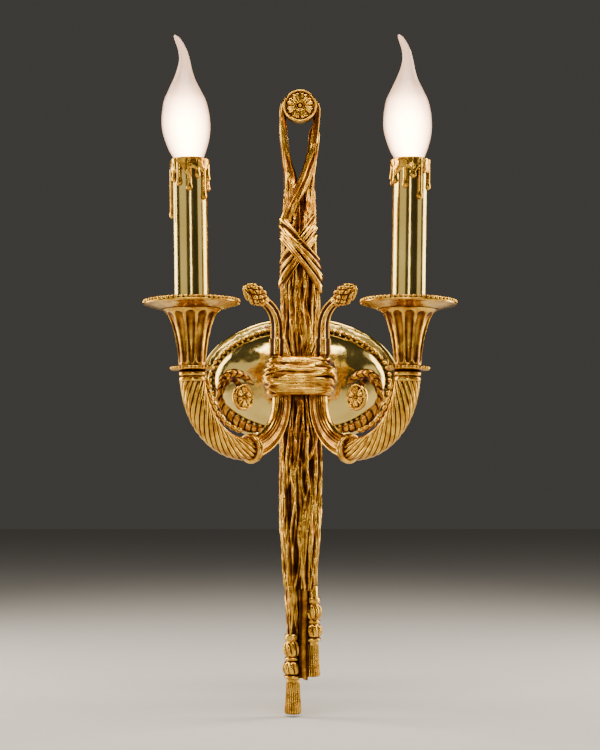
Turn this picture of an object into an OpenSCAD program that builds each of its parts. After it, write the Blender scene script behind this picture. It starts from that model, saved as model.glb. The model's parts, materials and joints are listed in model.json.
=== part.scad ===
// Two-light wall sconce in cast brass: a ribbon stem with tassels, gathered by a
// wrapped band, with two rope-twist arms that carry candle lights.
// The origin is the middle of the wall plate's back. The wall is the plane y = 0,
// the sconce stands out toward -y, +x is to the right and +z is up.

/* [Wall plate] */
// Width of the oval wall plate
plate_w = 162; // [150:1:180]
// Height of the oval wall plate
plate_h = 104; // [98:1:116]
// Depth of the domed plate from the wall
plate_depth = 27; // [25:0.5:32]
// Wall thickness of the plate
plate_wall = 2; // [1.5:0.1:2.5]
// Width of the flat rim round the dome
rim_w = 11; // [10:0.5:13]
// Thickness of the rim
rim_t = 5; // [4:0.5:6]

/* [Wall bracket] */
// Thickness of the bracket's steel
bracket_t = 2; // [1.5:0.1:2.5]
// Width of the bracket's strips
bracket_w = 22; // [20:1:24]
// Length of the bracket's level strip
bracket_len = 78; // [76:1:84]
// Distance between the two wall slots
slot_spacing = 60; // [54:1:62]
// Width of a wall slot
slot_w = 5; // [4:0.5:6]
// Length of a wall slot
slot_len = 12; // [8:1:14]
// Height of the ears above the bracket's centre
ear_z = 29; // [28:0.5:30]
// Depth of the ears from the wall
ear_depth = 11.5; // [11:0.5:12]
// Thread diameter of the two plate screws
plate_screw_d = 4; // [3:0.5:4]

/* [Centre] */
// Distance of the stem's axis from the wall
stem_y = 58; // [54:1:66]
// Width of the body block behind the band
block_w = 45; // [44.5:0.5:50]
// Depth of the body block
block_d = 43; // [42.5:0.5:47]
// Height of the body block
block_h = 26; // [25:0.5:29]
// Distance of the block's middle below the plate's centre
block_drop = 2.5; // [2:0.25:3]
// Distance of the block's middle in front of the stem's axis
block_offset = 5; // [4:0.5:6]
// Diameter of the spacer between plate and block
spacer_d = 22; // [20:1:26]
// Outer diameter of the threaded tube through plate and spacer
nipple_d = 10; // [9:0.5:10.5]
// Bore of the threaded tubes and arms for the cables
wire_bore = 7; // [6.5:0.25:7.5]
// Thickness of the wrapped band over the block
band_wall = 1.2; // [1.2:0.1:2.4]
// Swell of the band at its middle
band_swell = 5.6; // [4:0.2:6.4]
// Height of the wrapped band
band_h = 30; // [29.5:0.5:33]
// Depth of the band's level creases
crease_depth = 1.1; // [0.5:0.1:1.4]

/* [Stem] */
// Half width of the gathered cloth below the band, at its widest
drape_r = 16.6; // [15:0.2:19]
// Half width of the bundle above the band
bundle_r = 15.4; // [14.4:0.2:17]
// Height of the stem casting's top
stem_top = 150; // [146:1:156]
// Depth at which the long cloth ends on the right side
split_z = 165; // [155:1:175]
// Depth at which the left cloth ends in its tassel
tail_z = 198; // [190:1:206]
// Height at which the ribbons cross
wrap_z = 97; // [94:1:100]
// Depth of the cloth's upright folds
fold_depth = 1.3; // [0.6:0.1:1.8]
// Thickness of the crossed ribbons
wrap_t = 2.5; // [1.5:0.1:3]
// Diameter of the tenons that join stem and arms to the block
tenon_d = 10; // [8:0.5:11]
// Length of the tenons
tenon_len = 6.5; // [5.5:0.5:7]

/* [Loop and boss] */
// Height of the boss above the plate's centre
boss_z = 209.5; // [205:0.5:216]
// Diameter of the boss rim
boss_d = 26; // [25:0.2:28]
// Diameter of the drum behind the rim
drum_d = 20.6; // [18:0.2:21.4]
// Depth of the boss from its face to its back
boss_len = 22; // [21:0.5:24]
// Thickness of the boss rim
boss_rim_t = 10; // [8:0.5:11]
// Thickness of the ribbon over the drum
ribbon_t = 3.4; // [2.6:0.2:4]
// Width of the ribbon, from front to back
ribbon_w = 12; // [9:0.5:13]
// Number of petals on the boss
petals = 8; // [6:1:10]

/* [Tassels] */
// Diameter of the tassel skirts at their hem
skirt_d = 13.2; // [11:0.2:14]
// Height of a tassel skirt
skirt_h = 27; // [22:1:34]
// Height of the turned knots above a skirt
knot_h = 33; // [28:1:38]

/* [Arms] */
// Angle of the arms from the wall
arm_angle = 46; // [40:1:52]
// Reach of the arms from the stem's axis
arm_reach = 111; // [108:1:122]
// Depth of the arms' lowest point below the centre
arm_drop = 58.5; // [57:0.5:62]
// Distance of the lowest point from the stem's axis
bottom_u = 59; // [57:0.5:60]
// Distance of the arm root from the stem's axis
root_u = 21.25; // [20.5:0.25:22]
// Diameter of the arm root at the block
root_d = 13.2; // [12.8:0.2:14]
// Diameter of the rope twist at the cup
rope_d = 18.6; // [16:0.2:20]
// Diameter of the rope twist at the collar
rope_end_d = 16.8; // [15:0.2:17.4]
// Number of strands in the rope twist
rope_starts = 14; // [10:1:16]
// Length in which a strand goes once round
rope_lead = 115; // [90:1:140]
// Depth of the grooves between the strands
rope_groove = 1.3; // [0.6:0.1:1.6]
// Angle of the collar before the arm's lowest point
collar_turn = 10; // [8:0.5:13]
// Length of the double-ring collar
collar_len = 6; // [5:0.5:8]
// Diameter of the collar's rings
collar_d = 22.6; // [22.4:0.2:25]

/* [Scroll and bud] */
// Diameter of the rosette disc in the scroll, as a share of the arm's bend
disc_share = 0.4; // [0.36:0.01:0.43]
// Thickness of the rosette disc
disc_t = 3.6; // [3:0.2:5]
// Width of the scroll's leaf strip
strip_w = 7.6; // [6:0.2:8]
// Thickness of the scroll's leaf strip
strip_t = 6; // [4:0.2:8]
// Number of husks in the row outside the scroll
husks = 7; // [5:1:8]
// Thickness of a husk
husk_d = 4.6; // [3.6:0.2:5]
// Distance of the bud stalk from the stem's axis
stalk_u = 25.25; // [24.75:0.25:25.75]
// Height of the stalk's straight part above the block
stalk_rise = 23.5; // [21:0.5:28]
// Diameter of the bud stalk above the band
stalk_d = 12; // [10.8:0.2:12.6]
// Diameter of the stalk's neck in the band
stalk_neck_d = 10; // [9:0.2:10.2]
// Diameter of the stalk under the bud
stalk_end_d = 7.8; // [7:0.2:9]
// Bend radius of the bud stalk
stalk_bend = 21; // [18:0.5:25]
// Angle through which the stalk bends
stalk_turn = 66; // [58:1:74]
// Length of the seed bud
bud_len = 24.5; // [22:0.5:28]
// Diameter of the seed bud
bud_d = 14.6; // [13:0.2:16.4]

/* [Candle cup] */
// Outward lean of the candles
candle_lean = 1.5; // [0:0.25:3]
// Diameter of the beaded flange under the cup
flange_d = 30.4; // [27:0.2:34]
// Height of the flange and its bulge
flange_h = 8.25; // [7.5:0.25:10]
// Height of the fluted cup
cup_h = 40; // [34:1:48]
// Diameter of the fluted cup at its foot
cup_foot_d = 19.6; // [18.6:0.2:21]
// Diameter of the fluted cup at its mouth
cup_mouth_d = 42.4; // [38:0.2:46]
// Number of flutes round the cup
flutes = 12; // [10:1:16]
// Depth of the flutes
flute_depth = 1.4; // [0.6:0.1:1.8]
// Diameter of the drip pan
pan_d = 70; // [60:1:80]
// Height of the drip pan
pan_h = 7.6; // [6.6:0.2:9]

/* [Candle] */
// Outer diameter of the candle tube
tube_d = 25.5; // [25:0.1:28]
// Wall thickness of the candle tube
tube_wall = 1; // [0.8:0.1:1.2]
// Height of the candle tube
tube_h = 104.5; // [98:0.5:114]
// Diameter of the drip collar on the candle tube
collar_skirt_d = 29; // [28.4:0.2:31]
// Height of the drip collar's skirt
collar_skirt_h = 11; // [8:0.5:14]
// Diameter of the bulb cap
cap_d = 13.8; // [13:0.1:14]
// Length of the bulb cap
cap_len = 24; // [22:0.5:26]
// Depth of the bulb cap's top below the tube's end
cap_drop = 10; // [8:0.5:13]
// Largest diameter of the bulb
bulb_d = 35; // [32:0.5:36.5]
// Height of the bulb above the tube's end
bulb_h = 94; // [84:1:102]
// Wall thickness of the bulb's glass
glass_t = 0.9; // [0.6:0.1:1.2]

/* [Clearances] */
// Gap between pieces that slide into each other
fit_gap = 0.1; // [0.05:0.05:0.2]
// Gap between cast pieces that are seated on each other
seat_gap = 0.2; // [0.1:0.05:0.3]
// Gap round the bulb cap in its shell
cap_gap = 0.4; // [0.3:0.05:0.5]

/* [Hidden] */
$fn = 64;
left = -1;
right = 1;
eps = 0.01;

// Places that follow from the driving sizes
block_y = stem_y + block_offset;
block_back = block_y - block_d / 2;
block_top = block_h / 2 - block_drop;
block_foot = block_h / 2 + block_drop;
bore_d = nipple_d + 2 * fit_gap;
plate_seat = plate_depth - 1;
root_bend = bottom_u - root_u;
rope_bend = arm_reach - bottom_u;
root_cz = root_bend - arm_drop;
rope_cz = rope_bend - arm_drop;
collar_at = 270 - collar_turn;
candle_u = bottom_u + rope_bend * cos(candle_lean);
candle_z = rope_cz - rope_bend * sin(candle_lean);
cup_z = flange_h;
pan_z = cup_z + cup_h;
pan_floor = pan_z + 3;
tube_top = pan_floor + tube_h;
cap_top = tube_top - cap_drop;
holder_top = cap_top - 2;
cap_end = cap_top - cap_len;
holder_z = pan_floor + 9;
shell_d = cap_d + 2 * cap_gap + 1.6;
cable_d = 2.6;
dome_a = plate_w / 2 - rim_w;
dome_b = plate_h / 2 - rim_w;
screw_z = dome_b - 5.4;
earth_d = 4;
earth_z = 18;
terminal_w = 24;
terminal_d = 11;
terminal_h = 12;
terminal_z = nipple_d + 1;
tassel_long_x = -5.3;
tassel_short_x = 9;
tail_r = 5.4;
split_step = 0.4;
loop_y = stem_y - 4.5;
boss_front = loop_y + ribbon_w / 2 + seat_gap + boss_rim_t;
scroll_low = (collar_d + strip_w) / 2 - arm_drop;
disc_d = disc_share * rope_bend;
disc_u = bottom_u + 0.035 * rope_bend;
disc_z = scroll_low + 0.45 * rope_bend;
husk_r = rope_bend - rope_d / 2 - 0.95 * husk_d;
tenon_wall = 2;
stalk_tenon = 5;
stalk_top = block_top + stalk_rise;
sheath_z = block_top + 15.5;

// Line of the scroll's leaf strip from its foot over the collar: it rises, curls
// over the disc and ends in a pointed tip. Shares of the arm's bend, out and up.
scroll_share = [
    [-0.269, 0], [-0.087, 0.01], [0.096, 0.062], [0.279, 0.165], [0.412, 0.285],
    [0.485, 0.419], [0.477, 0.573], [0.396, 0.708], [0.262, 0.777], [0.108, 0.773],
    [-0.031, 0.719], [-0.154, 0.635]
];
scroll_route = [
    for (p = scroll_share)
        [bottom_u + rope_bend * p[0], scroll_low + rope_bend * p[1]]
];
// Width of the strip along this line, as a share of strip_w
strip_share = [[0, 0.7], [1, 0.85], [2, 1.05], [3, 1.05], [5, 0.74], [6, 0.74], [8, 0.92], [10, 0.8], [11, 0.2]];

// Drips as seen from the front: angle to the right of the middle, and length
drips_left = [
    [-88, 42], [-54, 17], [-32, 20], [2, 24], [28, 15], [53, 30], [80, 16],
    [110, 22], [148, 30], [184, 18], [222, 26]
];
drips_right = [
    [-88, 15], [-60, 18], [-19, 22], [6, 15], [28, 30], [72, 22],
    [104, 17], [140, 28], [176, 20], [212, 32], [246, 18]
];

// Outline of the flame-shaped glass: height above the tube's end, radius and
// sideways bend, as shares of the bulb's height and largest radius
flame = [
    [-cap_drop / bulb_h, 0.49, 0], [-0.05, 0.52, 0], [0.01, 0.59, -0.02],
    [0.053, 0.67, -0.06], [0.092, 0.765, -0.08], [0.171, 0.905, -0.1],
    [0.25, 0.99, -0.125], [0.33, 1, -0.14], [0.407, 0.955, -0.15], [0.486, 0.86, -0.165],
    [0.565, 0.665, -0.175], [0.644, 0.465, -0.18], [0.724, 0.315, -0.165],
    [0.8, 0.225, -0.16], [0.87, 0.185, -0.22], [0.93, 0.155, -0.34], [0.975, 0.115, -0.46],
    [1, 0.04, -0.54]
];

// Helpers: smooth steps, rings of points and lofted solids

function clamp(v, low, high) = max(low, min(high, v));
function smooth(v) = let(t = clamp(v, 0, 1)) t * t * (3 - 2 * t);
function power(v, e) = sign(v) * pow(abs(v), e);
function oval(a, b, e, count) = [
    for (i = [0:count - 1])
        let(t = 360 * i / count)
        [a * power(cos(t), 2 / e), b * power(sin(t), 2 / e)]
];

// A closed solid through rings that all have the same number of points.
// Seen against the direction of travel, each ring runs anticlockwise.
module loft(rings) {
    n = len(rings[0]);
    m = len(rings);
    points = [for (ring = rings) each ring];
    sides = [
        for (j = [0:m - 2], i = [0:n - 1])
            let(a = j * n + i, b = a + n, c = b - i + (i + 1) % n, d = c - n)
            each [[a, b, c], [a, c, d]]
    ];
    first_cap = [for (i = [0:n - 1]) i];
    last_cap = [for (i = [n - 1:-1:0]) (m - 1) * n + i];
    polyhedron(points, concat(sides, [first_cap, last_cap]), convexity = 8);
}

// The same with a bore: the inner rings have a whole fraction of the outer points
module hollow_loft(outer, inner) {
    n = len(outer[0]);
    k = len(inner[0]);
    m = len(outer);
    f = n / k;
    base = n * m;
    points = concat([for (ring = outer) each ring], [for (ring = inner) each ring]);
    outside = [
        for (j = [0:m - 2], i = [0:n - 1])
            let(a = j * n + i, b = a + n, c = b - i + (i + 1) % n, d = c - n)
            each [[a, b, c], [a, c, d]]
    ];
    inside = [
        for (j = [0:m - 2], i = [0:k - 1])
            let(a = base + j * k + i, b = a + k, c = b - i + (i + 1) % k, d = c - k)
            each [[a, c, b], [a, d, c]]
    ];
    ends = [
        for (i = [0:k - 1])
            let(
                p = base + i,
                q = base + (i + 1) % k,
                last = (m - 1) * k,
                top = (m - 1) * n
            )
            each concat(
                [for (g = [0:f - 1]) [p, i * f + g, (i * f + g + 1) % n]],
                [[p, ((i + 1) * f) % n, q]],
                [for (g = [0:f - 1]) [p + last, top + (i * f + g + 1) % n, top + i * f + g]],
                [[p + last, q + last, top + ((i + 1) * f) % n]]
            )
    ];
    polyhedron(points, concat(outside, inside, ends), convexity = 8);
}

// A ring in the arm's plane: centre [u, z], travel direction in degrees from level
function ring_at(centre, dir, section) = [
    for (p = section)
        [centre[0] + p[0] * sin(dir), p[1], centre[1] - p[0] * cos(dir)]
];

// Smooth path through hand-set points, as positions and directions
function spline(p, s) =
    let(
        last = len(p) - 1,
        k = min(floor(s), last - 1),
        t = s - k,
        a = p[max(k - 1, 0)],
        b = p[k],
        c = p[k + 1],
        d = p[min(k + 2, last)]
    )
    0.5 * (2 * b + (c - a) * t + (2 * a - 5 * b + 4 * c - d) * t * t
        + (3 * b - a - 3 * c + d) * t * t * t);
function heading(p, s) =
    let(
        last = len(p) - 1,
        q = spline(p, min(s + 0.02, last)) - spline(p, max(s - 0.02, 0))
    )
    atan2(q[1], q[0]);

module turned(profile) {
    rotate_extrude()
    polygon(profile);
}

// A round bar or bore that follows an arc in the arm's plane
module arc_rod(centre, bend, from, to, d) {
    translate([centre[0], 0, centre[1]])
    rotate([90, 0, 0])
    rotate([0, 0, from])
    rotate_extrude(angle = to - from)
    translate([bend, 0])
    circle(d = d);
}

// A round bar between two points
module rod(p, q, d) {
    v = q - p;
    translate(p)
    rotate([0, atan2(norm([v[0], v[1]]), v[2]), atan2(v[1], v[0])])
    cylinder(d = d, h = norm(v));
}

module toward_wall() {
    rotate([-90, 0, 0])
    children();
}

// The arm's plane: local x is the distance from the stem's axis, z is up
module on_arm(side) {
    mirror([side < 0 ? 1 : 0, 0, 0])
    translate([0, -stem_y, 0])
    rotate([0, 0, -arm_angle])
    children();
}

// The candle's axis: local z runs up the candle from the arm's end
module at_rope_end() {
    translate([candle_u, 0, candle_z])
    rotate([0, candle_lean, 0])
    children();
}

module on_candle(side) {
    on_arm(side)
    at_rope_end()
    children();
}

// Wall plate

// An oval dome on the wall: half width a, half height b, depth d. It is turned
// about a level axis behind the wall and cut off at the wall.
module oval_dome(a, b, d) {
    back = (b * b - d * d) / (2 * d);
    steps = 20;
    profile = [
        for (i = [0:steps])
            let(x = -a * cos(180 * i / steps))
            [sqrt(back * back + b * b * max(0, 1 - x * x / (a * a))), x]
    ];
    intersection() {
        translate([0, back, 0])
        rotate([0, 90, 0])
        rotate_extrude()
        polygon(concat([[0, -a]], profile, [[0, a]]));
        translate([-a - 1, -d - 1, -b - 1])
        cube([2 * a + 2, d + 1, 2 * b + 2]);
    }
}

module oval_slab(a, b, t) {
    rotate([90, 0, 0])
    linear_extrude(t)
    polygon(oval(a, b, 2, 72));
}

module backplate() {
    color("goldenrod")
    difference() {
        union() {
            intersection() {
                oval_dome(plate_w / 2, plate_h / 2, plate_depth + 3);
                oval_slab(plate_w, plate_h, rim_t);
            }
            oval_dome(dome_a, dome_b, plate_depth);
        }
        translate([0, eps, 0])
        oval_slab(plate_w / 2 - rim_t, plate_h / 2 - rim_t, rim_t - plate_wall);
        translate([0, eps, 0])
        oval_dome(dome_a - plate_wall, dome_b - plate_wall, plate_seat - plate_wall);
        translate([-plate_w, -plate_depth - 2, -plate_h])
        cube([2 * plate_w, 3, 2 * plate_h]);
        translate([0, -plate_seat - 1, 0])
        toward_wall()
        cylinder(d = bore_d, h = plate_depth);
        translate([0, 1 - plate_seat + plate_wall - 1, 0])
        toward_wall()
        cylinder(d = 2 * nipple_d, h = 4);
        for (s = [-1, 1])
            translate([0, -ear_depth + plate_screw_d, 0])
            mirror([0, 0, s < 0 ? 1 : 0]) {
                cylinder(d = plate_screw_d + 2 * seat_gap, h = plate_h / 2 - 1);
                translate([0, 0, screw_z])
                cylinder(d = 2 * plate_screw_d, h = plate_h / 2);
            }
    }
}

module plate_screws() {
    color("darkgoldenrod")
    for (s = [-1, 1])
        translate([0, -ear_depth + plate_screw_d, 0])
        mirror([0, 0, s < 0 ? 1 : 0])
        difference() {
            union() {
                translate([0, 0, ear_z - bracket_t - 3])
                cylinder(d = plate_screw_d, h = screw_z - ear_z + bracket_t + 4);
                translate([0, 0, screw_z])
                cylinder(d = 1.75 * plate_screw_d, h = 0.6 * plate_screw_d);
            }
            translate([-plate_screw_d, -0.5, screw_z + 0.4 * plate_screw_d])
            cube([2 * plate_screw_d, 1, plate_screw_d]);
        }
}

module wall_bracket() {
    color("silver")
    difference() {
        union() {
            translate([-bracket_len / 2, -bracket_t, -bracket_w / 2])
            cube([bracket_len, bracket_t, bracket_w]);
            translate([-bracket_w / 2, -bracket_t, -ear_z])
            cube([bracket_w, bracket_t, 2 * ear_z]);
            for (s = [-1, 1])
                translate([-bracket_w / 4, -ear_depth, s > 0 ? ear_z - bracket_t : -ear_z])
                cube([bracket_w / 2, ear_depth, bracket_t]);
        }
        for (s = [-1, 1])
            translate([s * slot_spacing / 2, -bracket_t - 1, 0])
            toward_wall()
            slot(slot_w, slot_len, bracket_t + 2);
        translate([0, -ear_depth + plate_screw_d, -ear_z - 1])
        cylinder(d = plate_screw_d + 2 * fit_gap, h = 2 * ear_z + 2);
        translate([0, -bracket_t - 1, -earth_z])
        toward_wall()
        cylinder(d = earth_d + 2 * fit_gap, h = bracket_t + 2);
    }
}

module slot(w, length, h) {
    for (s = [-1, 1])
        translate([s * (length - w) / 2, 0, 0])
        cylinder(d = w, h = h);
    translate([-(length - w) / 2, -w / 2, 0])
    cube([length - w, w, h]);
}

module earth_screw() {
    color("darkgoldenrod")
    translate([0, -bracket_t, -earth_z])
    rotate([90, 0, 0])
    difference() {
        union() {
            translate([0, 0, -bracket_t])
            cylinder(d = earth_d, h = bracket_t + 1);
            cylinder(d = 2.4 * earth_d, h = 0.8);
            cylinder(d = 2 * earth_d, h = 3);
        }
        translate([-earth_d, -0.5, 2])
        cube([2 * earth_d, 1, 2]);
    }
}

// Three-way terminal block with a moulded foot and open screw chimneys
module terminal_block() {
    way = terminal_w / 3;
    color("ivory")
    translate([0, -bracket_t, terminal_z])
    difference() {
        union() {
            translate([-terminal_w / 2, -2, 0])
            cube([terminal_w, 2, terminal_h]);
            for (i = [-1:1])
                translate([i * way - way / 2 + 0.6, -terminal_d, 1])
                cube([way - 1.2, terminal_d, terminal_h - 2]);
        }
        for (i = [-1:1], z = [3.6, terminal_h - 3.6])
            translate([i * way, -terminal_d - 1, z])
            toward_wall()
            cylinder(d = 3.6, h = 5);
    }
}

// Centre: threaded tube, nut, spacer, body block and band

module hub_nipple() {
    color("silver")
    translate([0, -stem_y + tenon_d / 2 + 1, 0])
    toward_wall()
    difference() {
        cylinder(d = nipple_d, h = stem_y - tenon_d / 2 - 1 - plate_seat + 9);
        translate([0, 0, -1])
        cylinder(d = wire_bore, h = stem_y);
    }
}

module hex_nut(h) {
    difference() {
        cylinder(d = 1.6 * nipple_d, h = h, $fn = 6);
        translate([0, 0, -1])
        cylinder(d = bore_d, h = h + 2);
    }
}

module hub_nut() {
    color("darkgoldenrod")
    translate([0, -plate_seat + plate_wall, 0])
    toward_wall()
    hex_nut(5);
}

module hub_spacer() {
    length = block_back - plate_seat;
    r = spacer_d / 2;
    color("goldenrod")
    translate([0, -block_back, 0])
    toward_wall()
    difference() {
        turned([
            [0, 0], [r, 0], [r, 0.2 * length],
            for (t = [0:15:90]) [r - 1.5 - 1.5 * sin(2 * t), length * (0.25 + t / 180)],
            [r, 0.8 * length], [r, length], [0, length]
        ]);
        translate([0, 0, -1])
        cylinder(d = bore_d, h = length + 2);
    }
}

function block_outline(extra) = oval(block_w / 2 + extra, block_d / 2 + extra, 4, 48);

module body_block() {
    color("darkgoldenrod")
    difference() {
        translate([0, -block_y, -block_foot])
        linear_extrude(block_h)
        polygon(block_outline(0));
        translate([0, -stem_y, 0]) {
            for (z = [block_top - tenon_len - seat_gap, -block_foot - 1])
                translate([0, 0, z])
                cylinder(d = tenon_d + 2 * fit_gap, h = tenon_len + 1 + seat_gap);
            cylinder(d = wire_bore + 2, h = wire_bore + 1, center = true);
            toward_wall()
            cylinder(d = bore_d, h = stem_y);
        }
        for (side = [left, right])
            on_arm(side) {
                translate([root_u, 0, -block_foot - 1])
                cylinder(d = tenon_d + 2 * fit_gap, h = tenon_len + 1 + seat_gap);
                translate([root_u, 0, -block_foot - 1])
                cylinder(d = wire_bore, h = block_foot + 1);
                rod([root_u, 0, 0], [0, 0, 0], wire_bore);
                translate([stalk_u, 0, block_top - tenon_len])
                cylinder(d = stalk_tenon + 2 * fit_gap, h = tenon_len + 1);
            }
    }
}

// Swell of the band from its edges to its middle, and its level creases
function band_r(t, v) =
    let(
        swell = band_swell * pow(sin(180 * (0.071 + 0.911 * v)), 0.8),
        front = smooth(0.6 - 1.4 * sin(t)),
        crease = crease_depth * sin(900 * v + 70 * sin(2 * t) + 40 * sin(5 * t + 200 * v))
    )
    band_wall + swell + front * crease * sin(180 * v);

module waist_band() {
    count = 40;
    levels = 10;
    rings = [
        for (j = [0:levels])
            let(v = 1 - j / levels, outline = oval(1, 1, 4.5, count))
            [
                for (i = [0:count - 1])
                    let(r = band_r(360 * i / count, 1 - v))
                    [
                        outline[i][0] * (block_w / 2 + r),
                        outline[i][1] * (block_d / 2 + r) - block_y,
                        (0.5 - v) * band_h - block_drop
                    ]
            ]
    ];
    color("darkgoldenrod")
    difference() {
        loft(rings);
        translate([0, -block_y, -band_h])
        linear_extrude(2 * band_h)
        polygon(block_outline(seat_gap));
        translate([0, -block_y, 0])
        toward_wall()
        cylinder(d = spacer_d + 2 * seat_gap, h = block_y);
        for (side = [left, right])
            on_arm(side)
            translate([stalk_u, 0, block_top - 1])
            cylinder(d = stalk_neck_d + 4 * seat_gap, h = band_h);
    }
}

// Stem: cast cloth with upright folds, crossed ribbons and a tail

// Upright folds at angle t and height z
function folds(t, z) =
    let(h = 360 * z / wrap_z)
    fold_depth * (0.6 * sin(9 * t + 60 * sin(1.16 * h)) + 0.4 * sin(14 * t - 50 * sin(1.37 * h) + 40));

// Thickness of the two crossed ribbons; p is the angle from the front
function ribbon(p, z, slope, thick) =
    let(
        centre = wrap_z * (1 + slope * clamp(p / 90, -1, 1)),
        low = smooth((1 - centre / wrap_z) / abs(slope)),
        half = wrap_z * (0.12 + 0.035 * low)
    )
    thick * smooth((half - abs(z - centre)) / (1.4 * wrap_t));
function wraps(p, z) =
    max(ribbon(p, z, -0.196, 1.2 * wrap_t), ribbon(p, z, 0.196, 0.45 * wrap_t));

// The fold that runs down from the right strand across the front of the stem
function sash(p, z) =
    let(above = (z - stem_top) / wrap_t + 2.8, across = p * bundle_r * PI / 180 / wrap_t)
    0.64 * wrap_t * smooth((2.2 - abs(across - 0.55 * above)) / 1.2) * smooth((above + 6.8) / 2);

function upper_half_w(z) = bundle_r * lookup(z, [
    [block_top, 0.62], [0.2 * wrap_z, 0.81], [0.3 * wrap_z, 0.98], [0.41 * wrap_z, 1],
    [0.59 * wrap_z, 1.01], [0.8 * wrap_z, 1], [wrap_z, 0.87], [1.2 * wrap_z, 0.838],
    [0.91 * stem_top, 0.8], [stem_top, 0.82]
]);
function upper_centre(z) = bundle_r * lookup(z, [
    [0.4 * wrap_z, 0.026], [0.8 * wrap_z, -0.013], [wrap_z, -0.052], [stem_top, -0.026]
]);
function upper_depth(z, back) =
    back
        ? max(0.55 * upper_half_w(z), tenon_d / 2 + tenon_wall)
        : bundle_r * lookup(z, [
            [block_top, 0.56], [0.39 * wrap_z, 0.845], [0.82 * wrap_z, 0.82],
            [0.9 * stem_top, 0.53], [stem_top, 0.41]
        ]);

function stem_ring(z, count, half_w, front, back, centre, extra) = [
    for (i = [0:count - 1])
        let(t = 360 * i / count, r = folds(t, z) + extra(t, z))
        [
            centre + (half_w + r) * cos(t),
            -stem_y + ((sin(t) < 0 ? front : back) + r) * sin(t),
            z
        ]
];

function tenon_ring(z) = [for (p = oval(tenon_d / 2, tenon_d / 2, 2, 32)) [p[0], p[1] - stem_y, z]];

module stem_upper() {
    wrap_from = 0.64 * wrap_z;
    wrap_to = 1.34 * wrap_z;
    levels = concat(
        [for (f = [0, 0.09, 0.19, 0.31, 0.45, 0.62, 0.79, 0.92]) block_top + f * (wrap_from - block_top)],
        [for (i = [0:20]) wrap_from + (wrap_to - wrap_from) * i / 20],
        [for (i = [1:4]) wrap_to + (stem_top - wrap_to) * i / 4]
    );
    dressing = function(t, z)
        let(p = t > 90 ? t - 270 : t + 90, taper = smooth((z - block_top) / 12))
        wraps(p, z) + sash(p, z) - (1 - taper) * 0.5;
    color("goldenrod")
    loft(concat(
        [tenon_ring(block_top - tenon_len), tenon_ring(block_top)],
        [
            for (z = levels)
                stem_ring(z, 32, upper_half_w(z), upper_depth(z, false),
                    upper_depth(z, true), upper_centre(z), dressing)
        ]
    ));
}

function lower_half_w(z) = lookup(z, [
    [-split_z, 13.6], [-119, 16.1], [-90, drape_r - 0.6], [-65, drape_r],
    [-50, 16.2], [-35, 13.2], [-22, 10], [-block_foot, 9]
]);

module stem_lower() {
    levels = [for (i = [20:-1:0]) -block_foot - (split_z - block_foot) * i / 20];
    tail_levels = [-tail_z, -tail_z + 8, -tail_z + 17, -split_z - 8, -split_z - split_step];
    none = function(t, z) 0;
    color("goldenrod")
    loft(concat(
        [
            for (z = tail_levels)
                stem_ring(z, 32, tail_r, tail_r + 1, tail_r - 1, tassel_long_x, none)
        ],
        [
            for (z = levels)
                stem_ring(z, 32, lower_half_w(z), 0.62 * lower_half_w(z) + 1.5,
                    max(0.5 * lower_half_w(z), tenon_d / 2 + tenon_wall), 0.3, none)
        ],
        [tenon_ring(-block_foot), tenon_ring(-block_foot + tenon_len)]
    ));
}

// The free edge of the cloth hangs as a web in front of the gap between the tassels
module cloth_tail() {
    top = -split_z - split_step - seat_gap;
    length = knot_h + skirt_h + 5;
    front = tail_r + 1;
    clear = skirt_d / 2 + 1.2 + seat_gap;
    color("goldenrod")
    difference() {
        translate([tassel_long_x, -stem_y, top - length])
        linear_extrude(length)
        polygon([
            [4, -3], [4, -front], [6.4, -front - 0.6], [7.6, -front + 0.6], [9.4, -front - 0.4],
            [11.4, -front], [11.4, -3]
        ]);
        for (x = [tassel_long_x, tassel_short_x])
            translate([x, -stem_y, top - length - 1])
            cylinder(r = clear, h = length + 2);
    }
}

// Turned knots and skirt, from the top down; the skirt's hem is rounded
function tassel_profile(h) =
    let(r = skirt_d / 2, k = knot_h)
    [
        [0, h], [r - 0.8, h], [r, h - 0.03 * k], [r, h - 0.1 * k], [r - 1, h - 0.15 * k],
        for (t = [-75:25:75]) [r - 1 + 1.8 * cos(t), h - 0.33 * k + 0.16 * k * sin(-t)],
        [r - 1, h - 0.51 * k], [r, h - 0.54 * k], [r, h - 0.58 * k], [r - 1, h - 0.61 * k],
        for (t = [-75:25:75]) [r - 0.8 + 2 * cos(t), h - 0.77 * k + 0.14 * k * sin(-t)],
        [r - 1, h - 0.92 * k], [r + 0.4, h - 0.94 * k], [r + 0.4, h - k], [r - 1.4, h - k - 0.3],
        [r - 1.2, 0.6 * skirt_h], [r - 0.2, 3], [r - 0.4, 1.2], [r - 1.8, 0], [0, 0]
    ];

module tassel(x, top, neck) {
    h = knot_h + skirt_h;
    color("goldenrod")
    translate([x, -stem_y, top - h - neck])
    union() {
        turned(tassel_profile(h));
        translate([0, 0, h - 1])
        cylinder(r = skirt_d / 2 - 1.6, h = neck + 1);
    }
}

module tassel_long() tassel(tassel_long_x, -tail_z, 0);
module tassel_short() tassel(tassel_short_x, -split_z - split_step - seat_gap, 4.4);

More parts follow.
